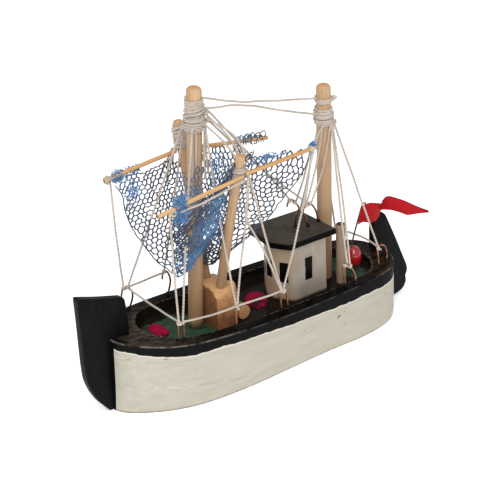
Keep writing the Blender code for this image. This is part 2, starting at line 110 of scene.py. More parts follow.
# Hull stations, bow to stern
# x, half width at the rail, rail height, half width at the chine, chine height, half width at the bottom
HULL_STATIONS = [
    (57.4, 3.0, 26.0, 3.0, 8.4, 2.4),
    (56.2, 6.0, 25.8, 6.0, 8.2, 5.2),
    (53.4, 9.8, 25.5, 9.9, 8.0, 8.2),
    (49.0, 13.0, 24.9, 13.2, 7.4, 11.4),
    (43.5, 15.7, 24.1, 15.9, 6.7, 14.4),
    (36.0, 17.6, 23.3, 17.8, 5.8, 17.0),
    (26.0, 18.7, 22.6, 18.8, 4.3, 18.4),
    (12.0, 19.4, 21.9, 19.2, 2.4, 18.5),
    (-4.0, 19.4, 21.4, 18.6, 2.0, 17.4),
    (-20.0, 18.8, 21.1, 17.8, 2.0, 16.6),
    (-34.0, 17.6, 20.9, 17.2, 2.0, 16.6),
    (-43.0, 16.2, 20.8, 16.0, 2.0, 15.4),
    (-49.0, 14.4, 20.8, 14.2, 2.0, 13.4),
    (-53.0, 11.6, 20.8, 11.4, 2.0, 10.8),
    (-55.8, 7.8, 20.8, 7.7, 2.0, 7.2),
    (-57.0, 3.6, 20.8, 3.5, 2.0, 3.2),
]
HULL_STEPS = 6
# Where the black band on the side ends: x, height
BAND_EDGE = [(57.4, 23.2), (53.4, 22.6), (49.0, 21.4), (43.5, 20.4), (36.0, 19.2), (26.0, 19.1),
             (12.0, 18.3), (-4.0, 17.5), (-20.0, 16.7), (-34.0, 16.3), (-43.0, 15.9), (-58.0, 16.1)]

# The camera stands where the photograph was taken from
CAMERA_PLACE = (412.33, 553.78, 383.82)
CAMERA_RIGHT = (-0.79226921, 0.60943543, -0.02996602)
CAMERA_UP = (-0.2942292, -0.33855307, 0.89376227)
CAMERA_LENS = 168.48


# Shapes

def between(start, end, t):
    """The point a share t of the way from start to end."""
    return np.asarray(start, float) * (1.0 - t) + np.asarray(end, float) * t


def catmull(rows, t):
    """A smooth curve through the rows of a table, at t from 0 to the last row's number."""
    rows = np.asarray(rows, float)
    last = len(rows) - 1
    i = min(int(t), last - 1)
    s = t - i
    a, b, c, d = rows[max(i - 1, 0)], rows[i], rows[i + 1], rows[min(i + 2, last)]
    return 0.5 * (2 * b + (c - a) * s + (2 * a - 5 * b + 4 * c - d) * s * s
                  + (3 * b - a - 3 * c + d) * s ** 3)


def smooth_path(points, spacing):
    """Points about spacing apart on a smooth curve through the given ones."""
    points = np.asarray(points, float)
    path = []
    for i in range(len(points) - 1):
        count = max(1, int(round(np.linalg.norm(points[i + 1] - points[i]) / spacing)))
        path += [catmull(points, i + k / count) for k in range(count)]
    return np.array(path + [points[-1]])


def unit(vector):
    return vector / max(np.linalg.norm(vector), 1e-9)


def frames_along(path):
    """Two directions square to the path at each of its points, turning as little as they can."""
    forward = np.gradient(path, axis=0)
    forward /= np.maximum(np.linalg.norm(forward, axis=1, keepdims=True), 1e-9)
    side = np.cross(forward[0], (0.0, 0.0, 1.0))
    if np.linalg.norm(side) < 0.1:
        side = np.cross(forward[0], (0.0, 1.0, 0.0))
    sides = []
    for direction in forward:
        side = unit(side - direction * np.dot(side, direction))
        sides.append(side)
    sides = np.array(sides)
    return forward, sides, np.cross(forward, sides)


def wobble(point, size, seed=0.0):
    """Smooth noise from about -1 to 1 at a point, with bumps about size apart."""
    x, y, z = (float(value) / size for value in point)
    return noise.noise(Vector((x + seed, y - seed, z + 0.5 * seed)))


class Shape:
    """Points and faces in millimetres, gathered from many parts, that become one piece."""

    def __init__(self):
        self.points = []
        self.faces = []
        self.marks = {}

    def add(self, points, faces, **marks):
        first = len(self.points)
        self.points += [tuple(point) for point in points]
        self.faces += [tuple(first + i for i in face) for face in faces]
        for key, values in marks.items():
            self.marks.setdefault(key, []).extend(values)

    def rings(self, rings, closed_ends=True, **marks):
        """Skin rings of equal length, with a fan on each end."""
        rings = [np.asarray(ring, float) for ring in rings]
        count = len(rings[0])
        points = [point for ring in rings for point in ring]
        faces = []
        for r in range(len(rings) - 1):
            low = r * count
            for i in range(count):
                j = (i + 1) % count
                faces.append((low + i, low + j, low + count + j, low + count + i))
        values = {key: [value for row in rows for value in row] for key, rows in marks.items()}
        if closed_ends:
            for ring, at, turn in ((0, 0, True), (len(rings) - 1, (len(rings) - 1) * count, False)):
                middle = len(points)
                points.append(rings[ring].mean(axis=0))
                for key, rows in marks.items():
                    values[key].append(np.mean(np.asarray(rows[ring], float), axis=0))
                for i in range(count):
                    j = (i + 1) % count
                    faces.append((middle, at + j, at + i) if turn else (middle, at + i, at + j))
        self.add(points, faces, **values)

    def tube(self, path, radii, sides, lobes=0, depth=0.0, pitch=1.0, start=0.0, **marks):
        """A tube along a path; lobes that turn once each pitch make it look twisted."""
        path = np.asarray(path, float)
        radii = np.broadcast_to(np.asarray(radii, float), (len(path),))
        _, across, over = frames_along(path)
        steps = np.r_[0.0, np.cumsum(np.linalg.norm(np.diff(path, axis=0), axis=1))]
        angles = np.arange(sides) * 2.0 * np.pi / sides
        phase = start + 2.0 * np.pi * steps / pitch
        wave = 1.0 + depth * np.cos(lobes * (angles[None, :] - phase[:, None])) if lobes else 1.0
        reach = radii[:, None] * wave * np.ones((len(path), sides))
        rings = (path[:, None, :] + (reach * np.cos(angles))[..., None] * across[:, None, :]
                 + (reach * np.sin(angles))[..., None] * over[:, None, :])
        rows = {key: np.repeat(np.asarray(value, float)[:, None], sides, axis=1)
                for key, value in marks.items()}
        self.rings(rings, **rows)

    def make(self, name, material, slot, replaces=(), crease=40.0):
        """Put the shape in the scene as one piece that rides on the boat."""
        data = bpy.data.meshes.new(name)
        data.from_pydata([tuple(c * MM for c in point) for point in self.points], [], self.faces)
        data.shade_smooth()
        data.set_sharp_from_angle(angle=math.radians(crease))
        data.materials.append(material)
        for key, values in self.marks.items():
            values = np.asarray(values, np.float32)
            is_vector = values.ndim == 2
            mark = data.attributes.new(key, "FLOAT_VECTOR" if is_vector else "FLOAT", "POINT")
            mark.data.foreach_set("vector" if is_vector else "value", values.ravel())
        made = bpy.data.objects.new(name, data)
        bpy.context.scene.collection.objects.link(made)
        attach(made, BODY)
        if replaces:
            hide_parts(*replaces)
        return made


# Materials

def srgb(red, green, blue):
    """Linear colour from screen values of 0 to 255."""
    def linear(value):
        value /= 255.0
        return value / 12.92 if value <= 0.04045 else ((value + 0.055) / 1.055) ** 2.4
    return (linear(red), linear(green), linear(blue), 1.0)


class Finish:
    """A node material built step by step around one Principled shader."""

    def __init__(self, name, roughness=0.5, metallic=0.0, coat=0.0, sheen=0.0, specular=0.5):
        self.material = bpy.data.materials.new(name)
        self.material.use_nodes = True
        self.tree = self.material.node_tree
        self.shader = self.tree.nodes["Principled BSDF"]
        self.shader.inputs["Roughness"].default_value = roughness
        self.shader.inputs["Metallic"].default_value = metallic
        self.shader.inputs["Coat Weight"].default_value = coat
        self.shader.inputs["Coat Roughness"].default_value = 0.12
        self.shader.inputs["Sheen Weight"].default_value = sheen
        self.shader.inputs["Specular IOR Level"].default_value = specular

    def feed(self, socket, value):
        if isinstance(value, bpy.types.NodeSocket):
            self.tree.links.new(value, socket)
        else:
            socket.default_value = value

    def node(self, kind, inputs=None, **settings):
        made = self.tree.nodes.new("ShaderNode" + kind)
        for key, value in settings.items():
            setattr(made, key, value)
        for key, value in (inputs or {}).items():
            self.feed(made.inputs[key], value)
        return made

    def place(self, scale=(1.0, 1.0, 1.0), mark=None):
        """Millimetres in the boat's axes, or a vector mark kept on the mesh, stretched by scale."""
        if mark:
            source = self.node("Attribute", attribute_name=mark).outputs["Vector"]
            factor = scale
        else:
            source = self.node("TexCoord").outputs["Object"]
            factor = tuple(value / MM for value in scale)
        return self.node("VectorMath", {0: source, 1: factor}, operation="MULTIPLY").outputs[0]

    def mark(self, name):
        return self.node("Attribute", attribute_name=name).outputs["Fac"]

    def noise(self, place, scale=1.0, detail=2.0, roughness=0.5, distortion=0.0):
        return self.node("TexNoise", {"Vector": place, "Scale": scale, "Detail": detail,
                                      "Roughness": roughness, "Distortion": distortion}).outputs["Fac"]

    def spread(self, value, low, high, to_low=0.0, to_high=1.0):
        """Value stretched from low..high to to_low..to_high, and held at its ends."""
        return self.node("MapRange", {"Value": value, "From Min": low, "From Max": high,
                                      "To Min": to_low, "To Max": to_high}).outputs[0]

    def math(self, operation, first, second):
        return self.node("Math", {0: first, 1: second}, operation=operation).outputs[0]

    def mix(self, share, first, second):
        return self.node("Mix", {0: share, 6: first, 7: second}, data_type="RGBA").outputs[2]

    def paint(self, colour, roughness=None, metallic=None):
        self.feed(self.shader.inputs["Base Color"], colour)
        if roughness is not None:
            self.feed(self.shader.inputs["Roughness"], roughness)
        if metallic is not None:
            self.feed(self.shader.inputs["Metallic"], metallic)

    def bump(self, height, distance, strength=1.0):
        """Relief whose full height is distance millimetres."""
        made = self.node("Bump", {"Height": height, "Distance": distance * MM, "Strength": strength})
        self.feed(self.shader.inputs["Normal"], made.outputs[0])


def hull_finish():
    """Cream enamel below, black band and rim, black well sides and a floor green only at its ends."""
    f = Finish("hull_enamel", roughness=0.35, coat=0.12, specular=0.0)
    place = f.place()
    split = f.node("SeparateXYZ", {0: place})
    length, height = split.outputs["X"], split.outputs["Z"]
    streaks = f.noise(f.place((0.08, 0.5, 0.5)), detail=4.0)
    fine = f.noise(place, 1.3, 4.0, 0.6)
    slow = f.noise(place, 0.22, 2.0)
    cream = f.mix(f.spread(streaks, 0.3, 0.7), srgb(182, 178, 164), srgb(173, 168, 154))
    specks = f.noise(place, 0.42, 0.0)
    dirt = f.math("MULTIPLY", f.spread(specks, 0.80, 0.815), f.spread(fine, 0.45, 0.6))
    cream = f.mix(dirt, cream, srgb(120, 100, 78))
    keel = f.math("ADD", height, f.spread(fine, 0.3, 0.7, -0.25, 0.25))
    cream = f.mix(f.spread(keel, 0.25, 0.75, 0.8, 0.0), cream, srgb(92, 66, 52))

    worn = f.noise(f.place((0.25, 0.7, 0.7)), 1.0, 5.0, 0.65)
    black = f.mix(f.spread(fine, 0.3, 0.7), srgb(10, 10, 11), srgb(19, 18, 18))
    uneven = f.math("ADD", length, f.spread(slow, 0.3, 0.7, -2.0, 2.0))
    bow = f.math("MULTIPLY", f.spread(length, 25.0, 48.0), f.spread(uneven, 56.0, 53.0, 0.1, 1.0))
    worn_and_stern_glint = f.mix(bow, srgb(14, 12, 11), srgb(76, 66, 52))
    # Towards the stern the worn patches turn a lighter brown: a painted highlight standing for glints on the glossy
    # rail
    worn_and_stern_glint = f.mix(f.spread(length, -34.0, -46.0, 0.0, 0.8), worn_and_stern_glint, srgb(64, 50, 42))
    rail = f.mix(f.spread(worn, 0.36, 0.66), srgb(10, 9, 9), worn_and_stern_glint)
    black = f.mix(f.mark("rim"), black, rail)
    # Painted highlight: a light grey line along the rail's outer top corner, broken up by noise, full towards the bow
    # and at the stern
    rim_edge_highlight = f.math("MULTIPLY", f.spread(f.mark("corner"), 0.6, 0.95), f.spread(slow, 0.35, 0.6, 0.0, 0.55))
    rim_edge_highlight = f.math("MULTIPLY", rim_edge_highlight, f.spread(fine, 0.35, 0.5, 0.35, 1.0))
    highlight_reach = f.math("MAXIMUM", f.spread(length, 10.0, 22.0, 0.3, 1.0), f.spread(length, -38.0, -48.0))
    rim_edge_highlight = f.math("MULTIPLY", rim_edge_highlight, highlight_reach)
    black = f.mix(rim_edge_highlight, black, srgb(128, 124, 119))
    # Painted highlight: dotted glints along the inner edge of the rim
    glint = f.math("MULTIPLY", f.spread(f.mark("brim"), 0.4, 0.8), f.spread(fine, 0.5, 0.58, 0.0, 0.6))
    black = f.mix(glint, black, srgb(112, 96, 82))

    blotch = f.noise(place, 0.35, 4.0, 0.6)
    ends = f.math("MAXIMUM", f.spread(length, 10.0, 24.0, -16.0, 0.4), f.spread(length, -33.0, -39.0, -16.0, 0.4))
    edge = f.math("ADD", f.math("ADD", f.mark("floor"), ends), f.spread(blotch, 0.25, 0.75, -3.4, 1.4))
    green = f.mix(f.spread(worn, 0.35, 0.7), srgb(34, 56, 44), srgb(62, 82, 66))
    bare = f.mix(f.spread(fine, 0.35, 0.7), srgb(20, 16, 14), srgb(40, 31, 27))
    well = f.mix(f.spread(edge, 0.9, 2.2), bare, green)

    line = f.math("ADD", f.mark("band"), f.spread(slow, 0.3, 0.7, -0.3, 0.3))
    above = f.spread(line, -0.06, 0.06)
    lip_highlight = f.math("MULTIPLY", f.spread(line, -0.7, -0.3), f.spread(line, -0.1, -0.3))
    wander = f.spread(f.noise(f.place((0.05, 0.1, 0.1))), 0.3, 0.7, -0.5, 0.5)
    upper = f.math("ADD", f.mark("band"), f.math("ADD", wander, f.spread(length, 10.0, 54.0, 1.2, 2.7)))
    upper = f.spread(f.math("ABSOLUTE", upper, 0.0), 0.0, 0.28, 1.0, 0.0)
    lower = f.math("ADD", f.math("ADD", height, wander), f.spread(length, 0.0, 60.0, -2.2, -11.8))
    lower = f.spread(f.math("ABSOLUTE", lower, 0.0), 0.0, 0.28, 1.0, 0.0)
    ridge = f.math("MULTIPLY", f.math("MAXIMUM", upper, lower), f.spread(worn, 0.3, 0.6, 0.15, 1.0))
    ridge = f.math("MULTIPLY", ridge, f.spread(length, 6.0, 20.0))
    # The paint ridges get painted shade as a darker beige groove, broken by painted highlights where shine is high
    shine = f.spread(f.noise(f.place((0.09, 0.3, 0.5)), 1.0, 1.0), 0.48, 0.58)
    ridge_shade_and_glints = f.mix(shine, srgb(150, 143, 126), srgb(228, 225, 216))
    cream = f.mix(f.math("MULTIPLY", ridge, 0.55), cream, ridge_shade_and_glints)
    # Painted highlight: a light line just under the black band, where the edge of the cream paint stands up
    cream = f.mix(f.math("MULTIPLY", lip_highlight, 0.6), cream, srgb(226, 223, 213))
    outside = f.mix(above, cream, black)
    inside = f.spread(f.mark("inside"), 0.45, 0.55)
    f.paint(f.mix(inside, outside, well),
            f.spread(f.math("ADD", worn, f.mark("rim")), 0.4, 1.6, 0.26, 0.42))
    relief = f.math("MULTIPLY", f.math("MAXIMUM", ridge, f.spread(line, -1.0, -0.4)), 0.6)
    relief = f.math("ADD", relief, f.math("MULTIPLY", above, 0.4))
    relief = f.math("ADD", relief, f.math("MULTIPLY", streaks, 0.9))
    f.bump(f.math("ADD", relief, f.math("MULTIPLY", fine, 0.35)), 0.14)
    return f.material


def black_finish():
    """Black enamel with brush marks and a brown graze here and there."""
    f = Finish("black_enamel", roughness=0.4, specular=0.06)
    strokes = f.noise(f.place((0.5, 0.5, 0.12)), 1.0, 4.0, 0.6)
    fine = f.noise(f.place(), 1.6, 3.0)
    colour = f.mix(f.spread(strokes, 0.35, 0.7), srgb(11, 10, 11), srgb(20, 18, 19))
    edges = f.node("NewGeometry").outputs["Pointiness"]
    graze = f.math("MULTIPLY", f.spread(edges, 0.53, 0.6), f.spread(fine, 0.5, 0.62))
    f.paint(f.mix(graze, colour, srgb(84, 60, 48)), f.spread(strokes, 0.3, 0.7, 0.36, 0.5))
    f.bump(f.math("ADD", strokes, f.math("MULTIPLY", fine, 0.3)), 0.1)
    return f.material


def roof_finish():
    """Brown-black varnish, scratched, with faces that look up painted lighter brown as a painted reflection of the
    sky.
    """
    f = Finish("roof_varnish", roughness=0.38, specular=0.04)
    cloud = f.noise(f.place(), 0.16, 4.0, 0.6)
    fine = f.noise(f.place((1.0, 0.35, 1.0)), 1.2, 4.0, 0.65)
    up = f.node("SeparateXYZ", {0: f.node("NewGeometry").outputs["Normal"]}).outputs["Z"]
    # Painted reflection: faces that look up are lighter brown, the glossy black catching the sky; the sides stay black
    top = f.mix(f.spread(cloud, 0.3, 0.7), srgb(56, 51, 44), srgb(74, 67, 60))
    top = f.mix(f.spread(fine, 0.6, 0.75), top, srgb(38, 33, 30))
    f.paint(f.mix(f.spread(up, 0.5, 0.9), srgb(7, 6, 6), top), f.spread(fine, 0.3, 0.7, 0.34, 0.55))
    f.bump(f.math("ADD", fine, cloud), 0.12)
    return f.material


def wood_finish(name, light, dark, streak, end, mark="grain", foot=None, low=None):
    """Bare wood with long fibres; the mark holds across, across and along in millimetres."""
    f = Finish(name, roughness=0.55, specular=0.25)
    broad = f.noise(f.place((0.5, 0.5, 0.025), mark), 1.0, 3.0, 0.5, 0.6)
    fibres = f.noise(f.place((2.6, 2.6, 0.07), mark), 1.0, 4.0, 0.6)
    flecks = f.noise(f.place((5.0, 5.0, 0.45), mark), 1.0, 2.0)
    colour = f.mix(f.spread(broad, 0.32, 0.68), light, dark)
    # Painted shade: given a low colour, the wood darkens towards it from 66 mm down to 24 mm high
    if low:
        height = f.node("SeparateXYZ", {0: f.place()}).outputs["Z"]
        colour = f.mix(f.spread(height, 66.0, 24.0, 0.0, 0.85), colour, low)
    colour = f.mix(f.spread(fibres, 0.5, 0.68, 0.0, 0.6), colour, streak)
    colour = f.mix(f.spread(flecks, 0.66, 0.76, 0.0, 0.45), colour, streak)
    colour = f.mix(f.spread(f.mark("end"), 0.35, 0.9), colour, end)
    if foot:
        creep = f.math("ADD", f.mark("foot"), f.spread(broad, 0.3, 0.7, -0.12, 0.12))
        colour = f.mix(f.spread(creep, 0.4, 0.8, 0.0, 0.92), colour, foot)
    f.paint(colour, f.spread(fibres, 0.3, 0.7, 0.5, 0.65))
    f.bump(f.math("ADD", fibres, f.math("MULTIPLY", flecks, 0.5)), 0.07)
    return f.material


def block_finish():
    """Sawn block: tan wood, darker red-brown low on its sides, with a painted highlight on faces that look up and
    painted shade on the bow face.
    """
    f = Finish("block_wood", roughness=0.5, specular=0.3)
    place = f.place((0.5, 0.09, 0.5))
    bands = f.noise(place, 1.0, 3.0, 0.5, 0.8)
    fibres = f.noise(f.place((2.4, 0.3, 2.4)), 1.0, 4.0, 0.6)
    colour = f.mix(f.spread(bands, 0.3, 0.7), srgb(190, 142, 94), srgb(166, 118, 74))
    colour = f.mix(f.spread(fibres, 0.5, 0.68, 0.0, 0.7), colour, srgb(128, 84, 52))
    height = f.node("SeparateXYZ", {0: f.place()}).outputs["Z"]
    blotch = f.noise(f.place(), 0.22, 3.0)
    low_darkening = f.spread(f.math("ADD", height, f.spread(blotch, 0.3, 0.7, -3.0, 3.0)), 18.5, 27.0, 0.85, 0.0)
    colour = f.mix(low_darkening, colour, srgb(116, 68, 46))
    facing = f.node("SeparateXYZ", {0: f.node("NewGeometry").outputs["Normal"]}).outputs
    # Painted highlight: faces that look up turn a lighter tan
    colour = f.mix(f.spread(facing["Z"], 0.5, 0.9, 0.0, 0.6), colour, srgb(226, 178, 126))
    # Painted shade: faces that look to the bow turn darker brown
    f.paint(f.mix(f.spread(facing["X"], 0.4, 0.9, 0.0, 0.6), colour, srgb(92, 52, 32)))
    f.bump(f.math("ADD", fibres, bands), 0.16)
    return f.material


def house_finish():
    """Thin greyish white wash over wood, rubbed through in streaks, with a dark line at the foot."""
    f = Finish("house_wash", roughness=0.5, specular=0.3)
    grain = f.noise(f.place((1.6, 1.6, 0.12)), 1.0, 4.0, 0.6)
    cloud = f.noise(f.place((0.3, 0.3, 0.16)), 1.0, 3.0)
    colour = f.mix(f.spread(cloud, 0.35, 0.68), srgb(161, 150, 138), srgb(146, 133, 119))
    colour = f.mix(f.spread(grain, 0.56, 0.72, 0.0, 0.25), colour, srgb(136, 112, 92))
    fore = f.node("SeparateXYZ", {0: f.node("NewGeometry").outputs["Normal"]}).outputs["X"]
    bare = f.math("MULTIPLY", f.spread(fore, 0.3, 0.8), f.spread(cloud, 0.3, 0.6, 0.25, 0.7))
    colour = f.mix(bare, colour, srgb(172, 145, 114))
    height = f.node("SeparateXYZ", {0: f.place()}).outputs["Z"]
    foot = f.math("ADD", height, f.spread(grain, 0.3, 0.7, -0.35, 0.35))
    colour = f.mix(f.spread(foot, 18.3, 18.9, 0.85, 0.0), colour, srgb(70, 50, 38))
    f.paint(colour, f.spread(grain, 0.3, 0.7, 0.42, 0.6))
    f.bump(f.math("ADD", grain, cloud), 0.08)
    return f.material


def glass_paint_finish():
    """Glossy black brushed on for the windows."""
    f = Finish("window_paint", roughness=0.25, specular=0.05)
    brush = f.noise(f.place(), 0.8, 3.0)
    f.paint(f.mix(brush, srgb(6, 5, 6), srgb(14, 13, 14)))
    f.bump(brush, 0.06)
    return f.material


def bead_finish():
    """Shiny red glass-like bead, more orange where light comes through."""
    f = Finish("red_bead", roughness=0.08, coat=0.8)
    swirl = f.noise(f.place(), 0.35, 3.0, 0.5, 1.2)
    f.paint(f.mix(f.spread(swirl, 0.35, 0.65), srgb(156, 10, 32), srgb(184, 30, 20)))
    f.shader.inputs["Subsurface Weight"].default_value = 0.12
    f.shader.inputs["Subsurface Radius"].default_value = (0.0016, 0.0004, 0.0003)
    f.bump(swirl, 0.05)
    return f.material


def flag_finish():
    """Red felt paper with faint speckles and darker cut edges."""
    f = Finish("red_flag", roughness=0.7, specular=0.15)
    fibre = f.noise(f.place(), 2.2, 4.0, 0.7)
    spots = f.noise(f.place(), 0.9, 1.0)
    colour = f.mix(f.spread(fibre, 0.3, 0.7), srgb(172, 18, 26), srgb(150, 14, 22))
    colour = f.mix(f.spread(spots, 0.66, 0.74, 0.0, 0.45), colour, srgb(122, 34, 26))
    colour = f.mix(f.spread(f.mark("edge"), 0.5, 1.0, 0.0, 0.75), colour, srgb(112, 10, 20))
    f.paint(colour)
    f.bump(fibre, 0.08)
    return f.material


def wire_finish():
    """Copper wire gone brown, with black paint run up from the deck."""
    f = Finish("copper_wire", roughness=0.32, metallic=0.9)
    tarnish = f.noise(f.place(), 0.7, 3.0)
    colour = f.mix(f.spread(tarnish, 0.3, 0.7), srgb(172, 122, 84), srgb(92, 60, 42))
    dark = f.math("ADD", f.mark("dark"), f.spread(tarnish, 0.3, 0.7, -0.25, 0.25))
    covered = f.spread(dark, 0.45, 0.6)
    f.paint(f.mix(covered, colour, srgb(30, 24, 22)), f.spread(tarnish, 0.3, 0.7, 0.25, 0.45),
            f.spread(covered, 0.0, 1.0, 0.9, 0.0))
    f.bump(tarnish, 0.04)
    return f.material


def thread_finish():
    """Undyed cotton, a little grey, with loose fibres."""
    f = Finish("cotton_thread", roughness=0.85, sheen=0.3, specular=0.2)
    fibre = f.noise(f.place(), 3.5, 3.0, 0.7)
    cloud = f.noise(f.place(), 0.12, 2.0)
    colour = f.mix(f.spread(cloud, 0.35, 0.65), srgb(190, 178, 166), srgb(174, 162, 150))
    f.paint(f.mix(f.spread(fibre, 0.55, 0.8, 0.0, 0.4), colour, srgb(146, 133, 119)))
    f.bump(fibre, 0.06)
    return f.material


def net_finish():
    """Nylon net cord: navy where it lies single, mid blue where it is bunched."""
    f = Finish("net_cord", roughness=0.45, sheen=0.15)
    cloud = f.noise(f.place(), 0.5, 2.0)
    single = f.mix(cloud, srgb(26, 34, 50), srgb(50, 64, 90))
    bunched = f.mix(cloud, srgb(58, 112, 166), srgb(112, 160, 204))
    f.paint(f.mix(f.mark("dense"), single, bunched))
    f.bump(f.noise(f.place(), 4.0, 1.0), 0.03)
    return f.material


def felt_finish():
    """Crimson felt scraps, with painted shade in the hollows of their folds and a darker tone towards port."""
    f = Finish("pink_felt", roughness=0.9, specular=0.1)
    pile = f.noise(f.place(), 1.6, 4.0, 0.7)
    cloud = f.noise(f.place(), 0.4, 3.0)
    colour = f.mix(f.spread(pile, 0.35, 0.65), srgb(176, 16, 62), srgb(124, 10, 42))
    near = f.node("SeparateXYZ", {0: f.place()}).outputs["Y"]
    # Painted shade in the hollows of the folds, and darker towards port
    fold_shade_and_port_dark = f.math("ADD", f.mark("crumple"), f.spread(near, -3.5, 0.5, -0.4, 0.6))
    fold_shade_and_port_dark = f.spread(f.math("ADD", fold_shade_and_port_dark, f.spread(cloud, 0.3, 0.7, -0.5, 0.5)), 0.45, 0.95, 0.0, 0.88)
    f.paint(f.mix(fold_shade_and_port_dark, colour, srgb(44, 16, 22)))
    f.bump(pile, 0.3)
    return f.material


HULL_PAINT = hull_finish()
BLACK_PAINT = black_finish()
ROOF_PAINT = roof_finish()
# The dowels' low colour is painted shade that darkens them towards the deck
DOWEL_WOOD = wood_finish("dowel_wood", srgb(194, 164, 132), srgb(178, 145, 110), srgb(146, 111, 80),
                         srgb(190, 142, 98), foot=srgb(30, 44, 34), low=srgb(136, 104, 72))
STICK_WOOD = wood_finish("stick_wood", srgb(204, 166, 118), srgb(186, 136, 84), srgb(150, 100, 60),
                         srgb(86, 60, 42))
FUNNEL_PAINT = wood_finish("funnel_wash", srgb(160, 140, 120), srgb(142, 120, 100), srgb(118, 96, 78),
                           srgb(30, 28, 28), foot=srgb(40, 34, 30))
BLOCK_WOOD = block_finish()
HOUSE_PAINT = house_finish()
WINDOW_PAINT = glass_paint_finish()
RED_BEAD = bead_finish()
RED_FLAG = flag_finish()
COPPER_WIRE = wire_finish()
COTTON = thread_finish()
NET_CORD = net_finish()
FELT = felt_finish()


# Hull

def at_station(x, column):
    """A column of the station table at any x."""
    table = np.array(HULL_STATIONS)[::-1]
    return float(np.interp(x, table[:, 0], table[:, column]))


def rail_z(x):
    return at_station(x, 2)


def band_z(x):
    table = np.array(BAND_EDGE)[::-1]
    return float(np.interp(x, table[:, 0], table[:, 1]))


def well_half_width(x):
    """Half width of the well: the rail less the rim, closed by a round at each end."""
    half = at_station(x, 1) - RIM_WIDTH
    fore = (x - (WELL_FORE_X - WELL_FORE_ROUND)) / WELL_FORE_ROUND
    aft = ((WELL_AFT_X + WELL_AFT_ROUND) - x) / WELL_AFT_ROUND
    t = min(max(fore, aft, 0.0), 1.0)
    return half * math.sqrt(1.0 - t * t)


def rounded(corners, radii, steps=4):
    """A polyline with its inner corners turned into small arcs."""
    corners = [np.asarray(corner, float) for corner in corners]
    line = [corners[0]]
    for before, corner, after, radius in zip(corners, corners[1:], corners[2:], radii):
        way_in = corner + unit(before - corner) * min(radius, 0.45 * np.linalg.norm(before - corner))
        way_out = corner + unit(after - corner) * min(radius, 0.45 * np.linalg.norm(after - corner))
        for k in range(steps + 1):
            t = k / steps
            line.append(way_in * (1 - t) ** 2 + corner * 2 * t * (1 - t) + way_out * t * t)
    line.append(corners[-1])
    return line


def with_points_between(line, most):
    """Extra points so that no step of the line is longer than most times its share."""
    made = []
    for (a, b), count in zip(zip(line, line[1:]), most):
        made += [between(a, b, k / count) for k in range(count)]
    return made + [line[-1]]


def hull_half_ring(x, rail, rail_height, chine, chine_height, bottom):
    """From under the keel round the port side, over the rim and down to the middle of the well floor."""
    middle = (HULL_STATIONS[0][0] + HULL_STATIONS[-1][0]) / 2.0
    half_length = (HULL_STATIONS[0][0] - HULL_STATIONS[-1][0]) / 2.0
    well_middle = (WELL_FORE_X + WELL_AFT_X) / 2.0
    well_x = well_middle + (x - middle) / half_length * (WELL_FORE_X - WELL_AFT_X) / 2.0
    well = well_half_width(well_x)
    corners = [(x, 0, 0), (x, bottom, 0), (x, chine, chine_height), (x, rail, rail_height),
               (well_x, well, rail_z(well_x)), (well_x, well, DECK_Z), (well_x, 0, DECK_Z)]
    line = rounded(corners, (0.5, 0.7, 0.75, 0.6, 0.7))
    counts = [3] + [1] * 4 + [2] + [1] * 4 + [7] + [1] * 4 + [5] + [1] * 4 + [2] + [1] * 4 + [7]
    return with_points_between(line, counts)


def make_hull():
    shape = Shape()
    rows = []
    last = len(HULL_STATIONS) - 1
    for i in range(last * HULL_STEPS + 1):
        station = catmull(HULL_STATIONS, i / HULL_STEPS)
        port = hull_half_ring(*station)
        starboard = [point * (1, -1, 1) for point in port[1:-1]][::-1]
        rows.append([np.array(point) for point in port + starboard])
    half = len(port)
    count = len(rows[0])

    rim_first = 1 + 3 + 4 + 2 + 4 + 7 + 2
    well_first = rim_first + 2 + 5 + 2
    points, band, rim, corner, brim, inside, floor = [], [], [], [], [], [], []
    for number, row in enumerate(rows):
        for k, point in enumerate(row):
            j = k if k < half else count - k
            x, y, z = point
            uneven = 0.16 * wobble(point, 9.0) + 0.05 * wobble(point, 2.5, 7.0)
            out = 1.0 if y >= 0 else -1.0
            if j < rim_first - 3 and z > 0.6:
                point = point + np.array((0.0, out * uneven, 0.0))
            elif j > well_first and z > DECK_Z + 0.5:
                point = point + np.array((0.0, out * 1.6 * uneven, 0.0))
            elif j >= rim_first:
                point = point + np.array((0.0, 0.0, 0.6 * uneven))
            points.append(point)
            band.append(9.0 if j >= rim_first or number == 0 else z - band_z(x))
            corner.append(1.0 if rim_first - 2 <= j <= rim_first else 0.0)
            brim.append(1.0 if well_first - 3 <= j <= well_first - 1 else 0.0)
            rim.append(1.0 if rim_first <= j <= well_first - 2 else 0.0)
            inside.append(1.0 if j > well_first else 0.0)
            wall = well_half_width(x) - abs(y)
            ends = min(WELL_FORE_X - x, x - WELL_AFT_X) * 0.7
            floor.append(min(wall, ends) - max(0.0, z - DECK_Z - 0.4) * 3.0)
    faces = []
    for r in range(len(rows) - 1):
        for k in range(count):
            m = (k + 1) % count
            a, b = r * count, (r + 1) * count
            faces.append((a + k, a + m, b + m, b + k))
    for r, turn in ((0, True), (len(rows) - 1, False)):
        base = r * count
        for k in range(half - 1):
            m = k + 1
            other_k, other_m = (count - k) % count, (count - m) % count
            face = [base + k, base + m, base + other_m, base + other_k]
            face = list(dict.fromkeys(face))
            faces.append(tuple(reversed(face)) if turn else tuple(face))
    shape.add(points, [tuple(reversed(face)) for face in faces],
              band=band, rim=rim, corner=corner, brim=brim, inside=inside, floor=floor)
    shape.make("hull_shell", HULL_PAINT, "white_paint", ["hull"], crease=50.0)


# Sawn and turned wood

